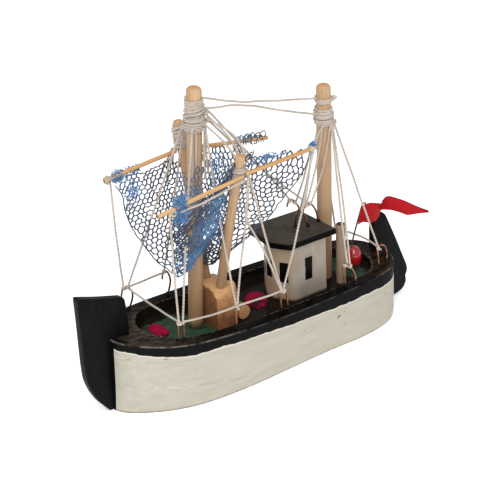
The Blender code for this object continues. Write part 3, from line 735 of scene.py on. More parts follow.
def board(name, outline, low, high, axis, material, slot, replaces, soft=0.4, uneven=0.1, seed=1.0):
    """A sawn piece: an outline between two levels of one axis, with worn edges."""
    outline = np.asarray(outline, float)
    ring = []
    for a, b in zip(outline, np.roll(outline, -1, axis=0)):
        count = max(1, int(np.linalg.norm(b - a) / 1.2))
        ring += [a + (b - a) * k / count for k in range(count)]
    ring = np.array(ring)
    area = np.sum(ring[:, 0] * np.roll(ring[:, 1], -1) - np.roll(ring[:, 0], -1) * ring[:, 1])
    along = np.roll(ring, -1, axis=0) - np.roll(ring, 1, axis=0)
    inward = np.stack([-along[:, 1], along[:, 0]], 1) * (1.0 if area > 0 else -1.0)
    inward /= np.maximum(np.linalg.norm(inward, axis=1, keepdims=True), 1e-9)
    profile = [(low, soft)]
    steps = 4
    for k in range(1, steps + 1):
        turn = math.pi / 2 * k / steps
        profile.append((low + soft * (1 - math.cos(turn)), soft * (1 - math.sin(turn))))
    layers = max(1, int((high - low - 2 * soft) / 1.5))
    profile += [(low + soft + (high - low - 2 * soft) * k / layers, 0.0) for k in range(1, layers)]
    profile += [(high + low - level, inset) for level, inset in reversed(profile[:steps + 1])]
    rings = []
    for level, inset in profile:
        flat = ring + inward * inset
        row = []
        for a, b in flat:
            point = np.array((a, b, level) if axis == "Z" else (a, level, b) if axis == "Y" else (level, a, b))
            push = uneven * wobble(point, 4.0, seed)
            row.append(point + push * np.array((0.6, 0.4, 0.6)))
        rings.append(row)
    if (area > 0) == (axis == "Y"):
        rings = [row[::-1] for row in rings]
    shape = Shape()
    shape.rings(rings)
    return shape.make(name, material, slot, replaces, crease=60.0)


def arc(points, steps=5):
    """An outline whose corners are rounded: rows of x, z, radius."""
    made = []
    for i, (x, z, radius) in enumerate(points):
        here = np.array((x, z))
        before = np.array(points[i - 1][:2])
        after = np.array(points[(i + 1) % len(points)][:2])
        if radius <= 0:
            made.append(here)
            continue
        a = here + unit(before - here) * radius
        b = here + unit(after - here) * radius
        made += [a * (1 - t) ** 2 + here * 2 * t * (1 - t) + b * t * t
                 for t in (k / steps for k in range(steps + 1))]
    return made


def make_boards():
    bow_face = HULL_STATIONS[0][0] - 0.1
    stem = arc([(bow_face, 0.2, 0), (58.9, 0.2, 0.4), (62.9, 4.8, 2.0), (65.2, 8.9, 2.0),
                (66.8, 13.2, 2.0), (67.4, 18.2, 3.0), (67.7, 26.0, 3.0), (68.0, 34.0, 3.0),
                (68.5, 44.0, 1.0), (59.5, 41.0, 2.0), (50.9, 38.6, 0.9), (50.0, 33.0, 1.0),
                (49.8, 24.6, 0), (bow_face, 25.8, 0)])
    board("stem_board", stem, -PLATE_HALF, PLATE_HALF, "Y", BLACK_PAINT, "black_paint",
          ["stem_plate"], soft=0.3, uneven=0.08, seed=3.0)
    stern_face = HULL_STATIONS[-1][0] + 0.1
    stern = arc([(stern_face, 0.6, 0), (stern_face, 20.6, 0), (-52.9, 20.6, 0), (-52.9, 34.2, 0.6),
                 (-54.6, 34.9, 0.8), (-56.8, 34.7, 0.9), (-58.2, 33.3, 0.8), (-62.8, 23.0, 3.0),
                 (-66.6, 13.6, 2.0), (-67.9, 10.6, 1.2), (-68.0, 8.4, 1.0), (-67.1, 7.0, 0.8),
                 (-67.6, 4.9, 1.0), (-66.4, 2.4, 1.2), (-63.8, 1.2, 1.5)])
    board("stern_board", stern, -PLATE_HALF, PLATE_HALF, "Y", BLACK_PAINT, "black_paint",
          ["stern_plate"], soft=0.3, uneven=0.08, seed=5.0)


def stick(name, start, end, radius, material, slot, replaces, round_top=1.2, round_foot=0.3,
          sides=28, foot_paint=0.0, seed=0.0, bend=0.0, join=None):
    """A dowel from start to end, its ends rounded, with its grain marked along it."""
    start, end = np.asarray(start, float), np.asarray(end, float)
    length = np.linalg.norm(end - start)
    axis = (end - start) / length
    _, across, over = frames_along(np.array([start, end]))
    across, over = across[0], over[0]
    levels = []
    steps = 5
    for k in range(steps + 1):
        turn = math.pi / 2 * k / steps
        levels.append((round_foot * (1 - math.cos(turn)), radius - round_foot * (1 - math.sin(turn)), 1 - k / steps))
    body = max(2, int(length / 3.0))
    levels += [(round_foot + (length - round_foot - round_top) * k / body, radius, 0.0)
               for k in range(1, body + 1)]
    for k in range(1, steps + 1):
        turn = math.pi / 2 * k / steps
        levels.append((length - round_top * (1 - math.sin(turn)), radius - round_top * (1 - math.cos(turn)),
                       k / steps))
    rings, grain, ends, foot = [], [], [], []
    for level, size, end_share in levels:
        sag = bend * math.sin(math.pi * level / length)
        centre = start + axis * level + across * sag
        row, marks = [], []
        for i in range(sides):
            turn = 2 * math.pi * i / sides
            aim = across * math.cos(turn) + over * math.sin(turn)
            size_here = size * (1.0 + 0.02 * wobble((math.cos(turn), math.sin(turn), level / 9.0), 1.0, seed))
            row.append(centre + aim * size_here)
            marks.append((size * math.cos(turn) + seed * 11.0, size * math.sin(turn), level))
        rings.append(row)
        grain.append(marks)
        ends.append([end_share] * sides)
        foot.append([1.0 - level / max(foot_paint, 1e-6) if foot_paint else 0.0] * sides)
    shape = join or Shape()
    shape.rings(rings, grain=grain, end=ends, foot=foot)
    if join is None:
        return shape.make(name, material, slot, replaces, crease=50.0)
    return shape


def mast_point(foot_x, top, z):
    """Where the axis of a raked mast is at height z."""
    return np.array((foot_x + (top[0] - foot_x) * (z - DECK_Z) / (top[2] - DECK_Z), 0.0, z))


def fore_mast(z):
    return mast_point(FORE_MAST_FOOT_X, FORE_MAST_TOP, z)


def aft_mast(z):
    return mast_point(AFT_MAST_FOOT_X, AFT_MAST_TOP, z)


def derrick(side, share):
    """A point of the port (1) or starboard (-1) derrick, share 0 at its foot and 1 at its head."""
    foot = np.array((DERRICK_FOOT[0], side * DERRICK_FOOT[1], DERRICK_FOOT[2]))
    head = np.array((DERRICK_HEAD[0], side * DERRICK_HEAD[1], DERRICK_HEAD[2]))
    return between(foot, head, share)


YARD_STICKS = [
    ("port_yard_fore", (14.6, 17.75, 75.4), (47.3, 17.2, 71.7)),
    ("port_yard_aft", (13.7, 17.75, 76.2), (-15.5, 17.2, 76.8)),
    ("starboard_yard_fore", (16.9, -14.6, 74.3), (43.9, -17.0, 70.9)),
    ("starboard_yard_aft", (11.8, -15.0, 73.5), (-22.2, -17.2, 66.7)),
]


def make_sticks():
    stick("fore_mast_dowel", fore_mast(DECK_Z - 1.0), FORE_MAST_TOP, MAST_RADIUS, DOWEL_WOOD, "dowel_wood",
          ["fore_mast"], round_top=1.5, sides=36, foot_paint=6.0, seed=1.0, bend=0.15)
    stick("aft_mast_dowel", aft_mast(DECK_Z - 1.0), AFT_MAST_TOP, MAST_RADIUS, DOWEL_WOOD, "dowel_wood",
          ["aft_mast"], round_top=1.5, sides=36, foot_paint=2.0, seed=2.0, bend=0.15)
    for side, name in ((1, "port_derrick"), (-1, "starboard_derrick")):
        top = 0.978 if side == 1 else 1.0
        stick(name + "_dowel", derrick(side, -0.05), derrick(side, top), DERRICK_RADIUS, DOWEL_WOOD,
              "dowel_wood", [name], round_top=0.8, seed=3.0 + side, bend=0.2 * side)
    for number, (name, inner, outer) in enumerate(YARD_STICKS):
        stick(name + "_stick", inner, outer, YARD_RADIUS, STICK_WOOD, "stick_wood", [name],
              round_top=0.25, sides=16, seed=5.0 + number, bend=0.2)
    low_z = DECK_Z + DRUM_RADIUS - 0.1
    stick("winch_drum_dowel", (DRUM_X, -DRUM_HALF_LENGTH, low_z), (DRUM_X, DRUM_HALF_LENGTH, low_z),
          DRUM_RADIUS, DOWEL_WOOD, "dowel_wood", ["winch_drum"], round_top=0.5, round_foot=0.5, sides=36,
          seed=9.0)
    x, y = FUNNEL_PLACE
    stick("funnel_dowel", (x, y, DECK_Z - 0.5), (x, y, FUNNEL_TOP_Z), FUNNEL_RADIUS, FUNNEL_PAINT,
          "funnel_paint", ["funnel"], round_top=0.5, sides=30, foot_paint=1.6, seed=10.0)


def make_block():
    """The winch block: flat sides, and a crown left rough and torn, with a hump at its aft port corner."""
    rings = []
    steps = 40
    soft = 0.5
    span = BLOCK_FORE_X - BLOCK_AFT_X
    levels = [(0.0, soft), (0.15 * soft, 0.5 * soft), (soft, 0.0)]
    levels += [(soft + (span - 2.0 * soft) * k / 9, 0.0) for k in range(1, 9)]
    levels += [(span - reach, inset) for reach, inset in reversed(levels[:3])]
    for reach, inset in levels:
        x = BLOCK_AFT_X + reach
        half = BLOCK_HALF_WIDTH - inset
        side = [DECK_Z - 0.2 + (BLOCK_SHOULDER_Z - DECK_Z) * k / 8 for k in range(8)]
        line = [(half, z) for z in side]
        line += [(half * math.cos(math.pi * k / steps), BLOCK_SHOULDER_Z - 0.3 - inset
                  + (BLOCK_CROWN_RISE + 0.3) * math.sin(math.pi * k / steps)) for k in range(steps + 1)]
        line += [(-half, z) for z in side[::-1]]
        ring = []
        for y, z in line:
            rough = 0.12 * wobble((x, y, z), 3.0, 8.0)
            if z > BLOCK_SHOULDER_Z:
                torn = 0.45 * wobble((x, y * 0.6, 0.0), 1.3, 3.0) + 0.3 * wobble((x, y * 0.5, 2.0), 0.6, 9.0)
                away = ((x - 11.6) / 2.0) ** 2 + ((y - 6.2) / 2.2) ** 2
                fade = min(1.0, (z - BLOCK_SHOULDER_Z) / 0.8)
                z += fade * (torn + 2.0 * math.exp(-away))
            ring.append((x + rough * 0.5, y + rough, z))
        rings.append(ring)
    shape = Shape()
    shape.rings(rings)
    shape.make("winch_block_body", BLOCK_WOOD, "block_wood", ["winch_block"], crease=40.0)


def house_outline(aft, corner, fore, half, front_half):
    return [(aft, -half), (corner, -half), (fore, -front_half),
            (fore, front_half), (corner, half), (aft, half)]


# Windows brushed on the house walls: name, near and far end on the wall as x and y, foot, height
WINDOWS = [
    ("port_side_window", (-17.1, 8.2), (-20.1, 8.2), 24.5, 8.2),
    ("starboard_side_window", (-17.4, -8.2), (-19.9, -8.2), 24.8, 7.6),
    ("port_corner_window", (-9.7, 3.85), (-11.3, 6.45), 24.7, 7.3),
    ("starboard_corner_window", (-9.75, -3.95), (-11.1, -6.1), 24.9, 7.0),
    ("front_window", (-8.6, -1.6), (-8.6, 1.0), 25.6, 6.1),
]


def make_house():
    walls = house_outline(HOUSE_AFT_X, HOUSE_CORNER_X, HOUSE_FORE_X, HOUSE_HALF_WIDTH, HOUSE_FRONT_HALF_WIDTH)
    board("wheelhouse_walls", walls, DECK_Z - 0.2, ROOF_LOW_Z + 0.1, "Z", HOUSE_PAINT, "house_paint",
          ["wheelhouse"], soft=0.3, uneven=0.1, seed=11.0)
    board("wheelhouse_roof_board", ROOF_PLAN, ROOF_LOW_Z, ROOF_TOP_Z, "Z", ROOF_PAINT, "black_paint",
          ["wheelhouse_roof"], soft=0.35, uneven=0.28, seed=12.0)
    for number, (name, near, far, foot, height) in enumerate(WINDOWS):
        near, far = np.array(near), np.array(far)
        run = far - near
        out = unit(np.array((-run[1], run[0])))
        if np.dot(out, (near + far) / 2 - np.array((-17.0, 0.0))) < 0:
            out = -out
        rings = []
        steps = 10
        for push, shrink in ((-0.1, 0.0), (0.06, 0.0), (0.1, 0.1)):
            ring = []
            corners = [(0, 0), (1, 0), (1, 1), (0, 1)]
            for (u0, v0), (u1, v1) in zip(corners, corners[1:] + corners[:1]):
                for k in range(steps):
                    u, v = u0 + (u1 - u0) * k / steps, v0 + (v1 - v0) * k / steps
                    u = 0.5 + (u - 0.5) * (1 - shrink) + 0.05 * wobble((u * 3, v * 3, number), 1.0)
                    v = 0.5 + (v - 0.5) * (1 - 0.3 * shrink) + 0.02 * wobble((v * 3, u * 3, number + 5.0), 1.0)
                    flat = near + run * u + out * push
                    ring.append((flat[0], flat[1], foot + height * v))
            rings.append(ring)
        if np.cross(run, out) > 0:
            rings = [ring[::-1] for ring in rings]
        shape = Shape()
        shape.rings(rings)
        shape.make(name, WINDOW_PAINT, "black_paint", crease=60.0)


def make_bead():
    """The red bead that carries the flag staff, with a small hole at its top."""
    centre = np.array((*BEAD_PLACE, DECK_Z + BEAD_HEIGHT / 2.0 + 0.1))
    profile = [(0.0, 0.25), (0.35, 0.0)]
    steps = 26
    for k in range(1, steps):
        turn = math.pi * k / steps
        profile.append((max(0.45, BEAD_RADIUS * math.sin(turn) ** 0.85), BEAD_HEIGHT / 2 * (1 - math.cos(turn))))
    profile += [(0.42, BEAD_HEIGHT - 0.05), (0.36, BEAD_HEIGHT - 0.5)]
    rings = []
    for radius, height in profile[1:]:
        rings.append([centre + np.array((radius * math.cos(2 * math.pi * i / 32),
                                         radius * math.sin(2 * math.pi * i / 32),
                                         height - BEAD_HEIGHT / 2)) for i in range(32)])
    shape = Shape()
    shape.rings(rings)
    shape.make("float_bead_glass", RED_BEAD, "red_bead", ["float_bead"], crease=50.0)


def make_felt():
    """Two scraps of crimson felt pressed on the deck."""
    scraps = (
        ("deck_patch_fore", [(36.1, -9.0), (34.1, -9.6), (32.2, -8.8), (31.4, -6.4), (32.0, -2.2),
                             (34.0, -0.2), (36.2, -0.9), (36.7, -3.9)]),
        ("deck_patch_mid", [(-0.9, -4.4), (-4.2, -6.2), (-6.8, -5.6), (-7.6, -2.4), (-6.6, 1.2),
                            (-3.6, 3.8), (0.2, 4.2), (1.4, 0.4)]),
    )
    for name, outline in scraps:
        outline = np.array(outline)
        centre = outline.mean(axis=0)
        around = 64
        edge = [catmull(np.vstack([outline, outline[:2]]), (i / around) * len(outline)) for i in range(around)]
        rings, creases = [], []
        for share, height in ((1.0, -0.2), (1.0, 0.2), (0.94, 0.5), (0.84, 0.7), (0.7, 0.8), (0.55, 0.8),
                              (0.4, 0.8), (0.25, 0.8), (0.1, 0.8)):
            ring, marks = [], []
            for i, (x, y) in enumerate(edge):
                ragged = 1.0 + 0.1 * wobble((x * 1.3, y * 1.3, 0.0), 1.0)
                px, py = centre + (np.array((x, y)) - centre) * share * ragged
                fold = wobble((px, py * 0.6, 0.0), 1.7, 4.0)
                ring.append((px, py, DECK_Z + height + (0.45 * fold if height > 0.3 else 0.0)))
                marks.append(0.5 - fold)
            rings.append(ring)
            creases.append(marks)
        shape = Shape()
        shape.rings(rings, crumple=creases)
        shape.make(name + "_felt", FELT, "pink_felt", [name], crease=60.0)


# Bent wire

def rail_foot(x, y):
    return (x, y, rail_z(x) - 0.5)


def rail_staple(fore, aft, height):
    """A plain staple on the rail, its round top leaning a little."""
    fore, aft = np.array(fore), np.array(aft)
    base = max(rail_z(fore[0]), rail_z(aft[0]))
    points = [rail_foot(*fore), (*between(fore, aft, -0.05), base + height * 0.6)]
    for share, rise in ((0.05, 0.88), (0.35, 1.0), (0.7, 0.98), (1.0, 0.84)):
        points.append((*between(fore, aft, share), base + height * rise))
    return points + [(*between(fore, aft, 1.1), base + height * 0.5), rail_foot(*aft)]


# Bent wires from foot to foot, and how far up their legs the black paint has run
BENT_WIRES = {
    "port_staple_1": (1.0, [rail_foot(39.1, 13.4), (39.0, 13.4, 27.5), (38.8, 13.4, 29.6), (37.9, 13.4, 30.5),
                            (36.9, 13.4, 29.8), (36.8, 13.4, 27.4), rail_foot(36.9, 13.4)]),
    "port_staple_2": (2.5, [rail_foot(17.9, 16.1), (18.0, 16.1, 27.0), (17.8, 16.0, 29.2), (17.2, 15.7, 30.0),
                            (16.7, 15.3, 29.2), (16.9, 15.1, 27.0), rail_foot(17.3, 15.0)]),
    "port_staple_3": (2.0, [rail_foot(-1.5, 15.2), (-1.0, 15.2, 25.5), (-0.6, 15.2, 27.6), (-1.5, 15.2, 28.9),
                            (-2.7, 15.2, 28.3), (-3.7, 15.2, 26.3), rail_foot(-4.0, 15.2)]),
    "port_staple_4": (2.5, [rail_foot(-29.0, 15.0), (-28.2, 15.0, 25.0), (-27.9, 15.0, 27.5), (-28.5, 15.1, 28.8),
                            (-29.8, 15.2, 28.9), (-31.2, 15.4, 27.0), (-32.4, 15.6, 24.4),
                            rail_foot(-32.9, 15.6)]),
    "port_staple_5": (3.0, [rail_foot(-46.6, 11.4), (-46.2, 11.3, 25.0), (-46.1, 11.2, 27.4), (-46.9, 11.0, 28.6),
                            (-48.2, 10.7, 28.5), (-50.0, 10.3, 27.2), (-51.1, 10.1, 24.4),
                            rail_foot(-51.0, 10.0)]),
    "starboard_staple_1": (6.5, [rail_foot(38.8, -15.0), (37.2, -15.0, 26.6), (36.9, -15.0, 29.0),
                                 (37.9, -14.9, 31.0), (39.3, -14.8, 32.1), (40.6, -14.6, 32.2),
                                 (41.6, -14.4, 30.2), (41.7, -14.2, 27.5), rail_foot(41.4, -13.8)]),
    "starboard_hook_2": (7.0, [rail_foot(21.6, -17.0), (20.3, -17.0, 26.4), (20.4, -17.0, 28.6), (21.3, -17.0, 30.8),
                               (22.4, -17.0, 31.4), (23.2, -17.0, 30.4), (23.4, -17.0, 28.8)]),
    "starboard_staple_4": (2.5, rail_staple((-29.3, -15.2), (-32.3, -15.2), 6.5)),
    "starboard_staple_5": (2.5, rail_staple((-45.2, -12.7), (-48.2, -12.0), 6.0)),
    "roof_hook": (9.5, [(-19.6, 0.2, 40.0), (-20.0, 0.2, 44.8), (-21.2, 0.2, 46.5), (-21.1, 0.2, 47.6),
                        (-19.8, 0.2, 49.6), (-18.3, 0.2, 51.1), (-17.0, 0.2, 50.7), (-16.3, 0.2, 49.1)]),
    "roof_staple": (3.5, [(-23.1, 2.6, 40.0), (-22.3, 2.5, 43.9), (-21.4, 2.4, 45.9), (-21.6, 2.3, 47.1),
                          (-22.3, 2.2, 48.0), (-23.3, 2.2, 48.6), (-24.9, 2.1, 48.1), (-26.1, 2.0, 46.7),
                          (-27.1, 1.9, 44.9), (-27.7, 1.8, 43.0), (-28.1, 1.8, 40.0)]),
}


def make_wires():
    paint = Shape()
    for name, (reach, points) in BENT_WIRES.items():
        path = smooth_path(points, 0.45)
        base = min(points[0][2], points[-1][2]) + 0.4
        shape = Shape()
        shape.tube(path, WIRE_RADIUS, 12, dark=1.15 - (path[:, 2] - base) / reach)
        shape.make(name + "_wire", COPPER_WIRE, "copper_wire", [name])
        for foot in {points[0], points[-1] if points[-1][2] < base + 1.0 else points[0]}:
            ring_turns = np.arange(14) * 2.0 * math.pi / 14
            rings = []
            for size, rise in ((0.95, 0.3), (0.8, 0.62), (0.55, 0.85), (0.42, 1.5)):
                rings.append([(foot[0] + size * math.cos(a) * (1.0 + 0.35 * wobble((a, foot[0], 0.0), 1.3)),
                               foot[1] + size * math.sin(a) * (1.0 + 0.3 * wobble((a, foot[1], 3.0), 1.3)),
                               foot[2] + rise) for a in ring_turns])
            paint.rings(rings)
    paint.make("staple_foot_paint", BLACK_PAINT, "black_paint", crease=60.0)


# Flag edges from the staff to the tip: upper point, lower point
FLAG_EDGES = [
    ((-47.1, 1.6, 39.6), (-45.5, 1.6, 33.6)),
    ((-48.6, 2.4, 40.7), (-47.0, 2.4, 34.4)),
    ((-50.1, 3.2, 41.0), (-48.7, 3.2, 34.1)),
    ((-52.2, 3.4, 40.4), (-51.2, 3.4, 33.6)),
    ((-54.2, 2.9, 39.4), (-53.6, 2.9, 34.4)),
    ((-55.5, 2.4, 38.7), (-55.1, 2.4, 36.1)),
    ((-55.9, 2.9, 40.3), (-55.7, 2.9, 36.5)),
    ((-56.3, 3.8, 41.5), (-56.5, 3.8, 36.6)),
    ((-57.7, 4.8, 41.6), (-57.7, 4.8, 36.5)),
    ((-60.9, 6.8, 40.1), (-60.5, 6.8, 35.3)),
    ((-62.8, 7.8, 38.9), (-62.5, 7.8, 34.2)),
    ((-66.6, 9.6, 36.3), (-66.6, 9.6, 34.1)),
    ((-69.6, 10.7, 34.5), (-69.7, 10.7, 33.9)),
]
FLAG_THICKNESS = 0.3


def make_flag():
    """A cut pennant with one fold in it, on a bent wire staff with a small loop on top."""
    last = len(FLAG_EDGES) - 1
    columns, rows = last * 6, 12
    upper = np.array([pair[0] for pair in FLAG_EDGES])
    lower = np.array([pair[1] for pair in FLAG_EDGES])
    grid = np.empty((columns + 1, rows + 1, 3))
    for i in range(columns + 1):
        t = i / 6
        top, bottom = catmull(upper, t), catmull(lower, t)
        for j in range(rows + 1):
            share = j / rows
            point = between(top, bottom, share)
            swell = 0.5 * math.sin(math.pi * share) * math.sin(0.9 * t)
            grid[i, j] = point + np.array((0.35, 0.9, 0.0)) * (swell + 0.2 * wobble(point, 3.0))
    along = np.gradient(grid, axis=0)
    down = np.gradient(grid, axis=1)
    normal = np.cross(along, down)
    normal /= np.maximum(np.linalg.norm(normal, axis=2, keepdims=True), 1e-9)
    count = rows + 1
    points, edge, faces = [], [], []
    for side in (0.5, -0.5):
        for i in range(columns + 1):
            for j in range(count):
                points.append(grid[i, j] + normal[i, j] * FLAG_THICKNESS * side)
                height = np.linalg.norm(grid[i, 0] - grid[i, rows])
                edge.append(1.0 - min(j, rows - j) / rows * height / 0.35)
    for i in range(columns):
        for j in range(rows):
            a = i * count + j
            b = a + (columns + 1) * count
            faces.append((a, a + count, a + count + 1, a + 1))
            faces.append((b + 1, b + count + 1, b + count, b))
    border = [(i, 0) for i in range(columns)] + [(columns, j) for j in range(rows)]
    border += [(i, rows) for i in range(columns, 0, -1)] + [(0, j) for j in range(rows, 0, -1)]
    for (i, j), (m, n) in zip(border, border[1:] + border[:1]):
        a, b = i * count + j, m * count + n
        faces.append((b, a, a + (columns + 1) * count, b + (columns + 1) * count))
    shape = Shape()
    shape.add(points, faces, edge=edge)
    shape.make("flag_cloth", RED_FLAG, "red_flag", ["flag"], crease=50.0)

    x, y = BEAD_PLACE
    staff = smooth_path([(x + 1.1, y, 25.4), (x - 0.1, y - 0.1, 29.4), (x - 1.7, y - 0.2, 33.7),
                         (x - 3.7, y - 0.1, 39.4), (x - 4.1, y, 40.3), (x - 4.9, y + 0.1, 40.9),
                         (x - 5.5, y + 0.1, 40.3), (x - 4.9, y + 0.1, 39.5), (x - 4.1, y - 0.1, 39.9)], 0.4)
    shape = Shape()
    shape.tube(staff, WIRE_RADIUS * 0.85, 12, dark=np.clip((38.5 - staff[:, 2]) / 4.0, 0.0, 0.8))
    shape.make("flag_staff_wire", COPPER_WIRE, "copper_wire", ["flagpole"])


# Thread

def thread(shape, points, loose=0.12, radius=THREAD_RADIUS, spacing=0.26, sides=8, sag=0.0):
    """A two-ply thread through the points, a little uneven."""
    path = smooth_path(points, spacing)
    share = np.linspace(0.0, 1.0, len(path))
    ease = np.sin(math.pi * share)
    for i, point in enumerate(path):
        drift = np.array([wobble(point, 6.0, seed) for seed in (1.0, 5.0, 9.0)])
        path[i] = point + loose * ease[i] * drift - np.array((0.0, 0.0, sag * ease[i]))
    shape.tube(path, radius, sides, lobes=2, depth=0.22, pitch=2.3, start=7.0 * points[0][0])


def knot(shape, place, turns=3, reach=0.62, tail=0.0, seed=0):
    """A few small loops of thread in different directions, and now and then a cut tail."""
    pick = random.Random(seed + int(place[0] * 31 + place[2] * 17))
    for _ in range(turns):
        aim = Vector((pick.uniform(-1, 1), pick.uniform(-1, 1), pick.uniform(-1, 1))).normalized()
        across = aim.orthogonal().normalized()
        over = aim.cross(across)
        size = reach * pick.uniform(0.8, 1.2)
        ring = [np.array(place) + size * (math.cos(a) * np.array(across) + math.sin(a) * np.array(over))
                for a in np.linspace(0.0, 1.9 * math.pi, 12)]
        thread(shape, ring, loose=0.05, spacing=0.4, sides=6)
    if tail:
        end = np.array(place) + np.array((pick.uniform(-1, 1), pick.uniform(-0.6, 0.6), -0.8)) * tail
        thread(shape, [place, between(place, end, 0.5) + np.array((0.2, 0.1, 0.3)), end], loose=0.1)


def winding(shape, start, end, radius, turns, seed=0, uneven=0.18, first=0.0):
    """Thread wound round the line from start to end."""
    start, end = np.asarray(start, float), np.asarray(end, float)
    _, across, over = frames_along(np.array([start, end]))
    pick = random.Random(seed)
    steps = max(8, int(turns * 22))
    slip = [pick.uniform(-uneven, uneven) for _ in range(int(turns) + 3)]
    lift = [pick.uniform(0.0, 0.16) for _ in range(int(turns) + 3)]
    path = []
    for k in range(steps + 1):
        turn = turns * k / steps
        low = int(turn)
        part = turn - low
        shift = slip[low] * (1.0 - part) + slip[low + 1] * part
        size = radius + lift[low] * (1.0 - part) + lift[low + 1] * part
        angle = 2.0 * math.pi * turn + first
        middle = start + (end - start) * (k / steps) + unit(end - start) * shift
        path.append(middle + size * (math.cos(angle) * across[0] + math.sin(angle) * over[0]))
    shape.tube(np.array(path), THREAD_RADIUS, 7, lobes=2, depth=0.2, pitch=2.3, start=seed)


def make_windings():
    mast = MAST_RADIUS + 0.2
    shape = Shape()
    winding(shape, fore_mast(98.2), fore_mast(87.6), mast, 18, seed=1)
    winding(shape, fore_mast(92.6), fore_mast(87.8), mast + 0.5, 7, seed=2, uneven=0.4)
    winding(shape, fore_mast(96.8), fore_mast(89.0), mast + 0.45, 2.5, seed=3, uneven=0.6, first=1.0)
    winding(shape, fore_mast(90.5), fore_mast(88.2), mast + 0.95, 3, seed=4, uneven=0.3, first=2.0)
    winding(shape, fore_mast(88.4), fore_mast(95.6), mast + 0.5, 1.5, seed=5, uneven=0.5, first=4.0)
    for x, y, z in ((16.9, 2.3, 93.6), (16.6, 2.4, 90.6), (22.4, 2.8, 88.6), (18.8, 3.6, 88.4)):
        knot(shape, (x, y, z), 3, 0.8, tail=1.4)
    shape.make("fore_masthead_winding", COTTON, "cotton_thread", ["fore_masthead_lashing"])

    shape = Shape()
    winding(shape, aft_mast(84.0), aft_mast(82.4), mast, 3, seed=6, uneven=0.1)
    winding(shape, aft_mast(80.2), aft_mast(74.4), mast, 10, seed=7)
    winding(shape, aft_mast(79.0), aft_mast(75.2), mast + 0.45, 4, seed=8, uneven=0.4)
    knot(shape, (-36.2, 1.4, 83.2), 2, 0.6, tail=1.0)
    knot(shape, (-35.8, 1.6, 74.6), 3, 0.7)
    shape.make("aft_masthead_winding", COTTON, "cotton_thread", ["aft_masthead_lashing"])

    dowel = DERRICK_RADIUS + 0.2
    for side, name, low, high, turns in ((1, "port", 0.80, 0.9, 8), (-1, "starboard", 0.83, 0.97, 12)):
        shape = Shape()
        winding(shape, derrick(side, high), derrick(side, low), dowel, turns, seed=9 + side)
        winding(shape, derrick(side, high - 0.02), derrick(side, low + 0.01), dowel + 0.45, turns * 0.6,
                seed=12 + side, uneven=0.5)
        winding(shape, derrick(side, low - 0.01), derrick(side, high), dowel + 0.6, 1.5, seed=15 + side,
                uneven=0.7, first=2.0)
        at = derrick(side, (low + high) / 2)
        knot(shape, (at[0] - 1.8, at[1] + 1.4 * side, at[2]), 3, 0.8, tail=1.5)
        shape.make(name + "_derrick_winding", COTTON, "cotton_thread", [name + "_derrick_lashing"])


# Threads by group: points from end to end
STAYS = [
    [(16.9, 0.9, 97.7), (13.0, 0.4, 96.2), (0.8, 0.1, 91.6), (-12.6, 0.0, 88.2), (-29.6, 0.3, 84.3)],
    [(16.6, 1.6, 94.4), (12.0, 0.6, 92.9), (0.8, 0.1, 90.5), (-15.6, 0.0, 83.9), (-29.6, 0.4, 78.6)],
]
PORT_AFT_SHROUDS = [
    [(-33.6, 2.8, 75.4), (-31.4, 10.0, 45.0), (-29.6, 15.2, 28.7)],
    [(-34.2, 2.7, 75.0), (-33.0, 9.6, 46.5), (-30.6, 15.3, 28.2)],
]
STARBOARD_AFT_SHROUDS = [
    [(-33.4, -2.8, 75.4), (-31.8, -10.0, 46.0), (-30.4, -15.1, 28.1)],
    [(-34.4, -2.6, 75.6), (-41.0, -8.4, 49.0), (-46.9, -12.4, 27.2)],
]
FORE_STAYS = [
    [(21.9, -2.4, 90.4), (30.4, -9.0, 60.0), (38.6, -14.9, 31.9)],
    [(41.3, -17.6, 71.4), (40.9, -16.6, 52.0), (40.4, -14.8, 32.6)],
    [(43.2, 17.9, 71.9), (41.5, 16.2, 52.0), (38.8, 13.6, 30.0)],
    [(22.4, 2.6, 88.4), (30.6, 8.4, 59.0), (37.0, 13.3, 29.9)],
    [(17.9, 3.4, 88.8), (18.2, 9.6, 58.5), (17.4, 15.6, 29.9)],
    [(21.6, -2.9, 89.0), (22.0, -10.0, 60.0), (22.6, -16.9, 31.6)],
]
DERRICK_FALLS = [
    [(12.4, 17.6, 77.4), (12.2, 17.3, 70.0), (13.4, 16.8, 58.0), (15.4, 16.2, 44.0), (17.0, 15.7, 29.8)],
    [(12.0, 17.4, 75.2), (9.2, 16.9, 65.6), (4.6, 16.4, 48.4), (-1.6, 15.4, 28.8)],
    [(12.6, 17.8, 74.6), (12.9, 17.3, 66.4), (13.0, 17.1, 59.6), (6.0, 16.4, 46.0), (-1.2, 15.3, 29.2)],
    [(18.6, 2.6, 90.8), (15.2, 10.0, 84.4), (13.6, 15.8, 78.6)],
    [(17.2, 2.8, 91.6), (11.6, 10.0, 86.2), (11.2, 16.4, 79.0)],
    [(16.6, 2.0, 92.6), (12.8, 9.4, 85.2), (12.4, 15.8, 77.0)],
    [(17.6, -2.6, 90.8), (15.2, -9.0, 86.0), (15.4, -15.0, 81.6)],
    [(19.0, -2.9, 89.4), (17.2, -9.0, 83.0), (15.8, -15.2, 76.0)],
]
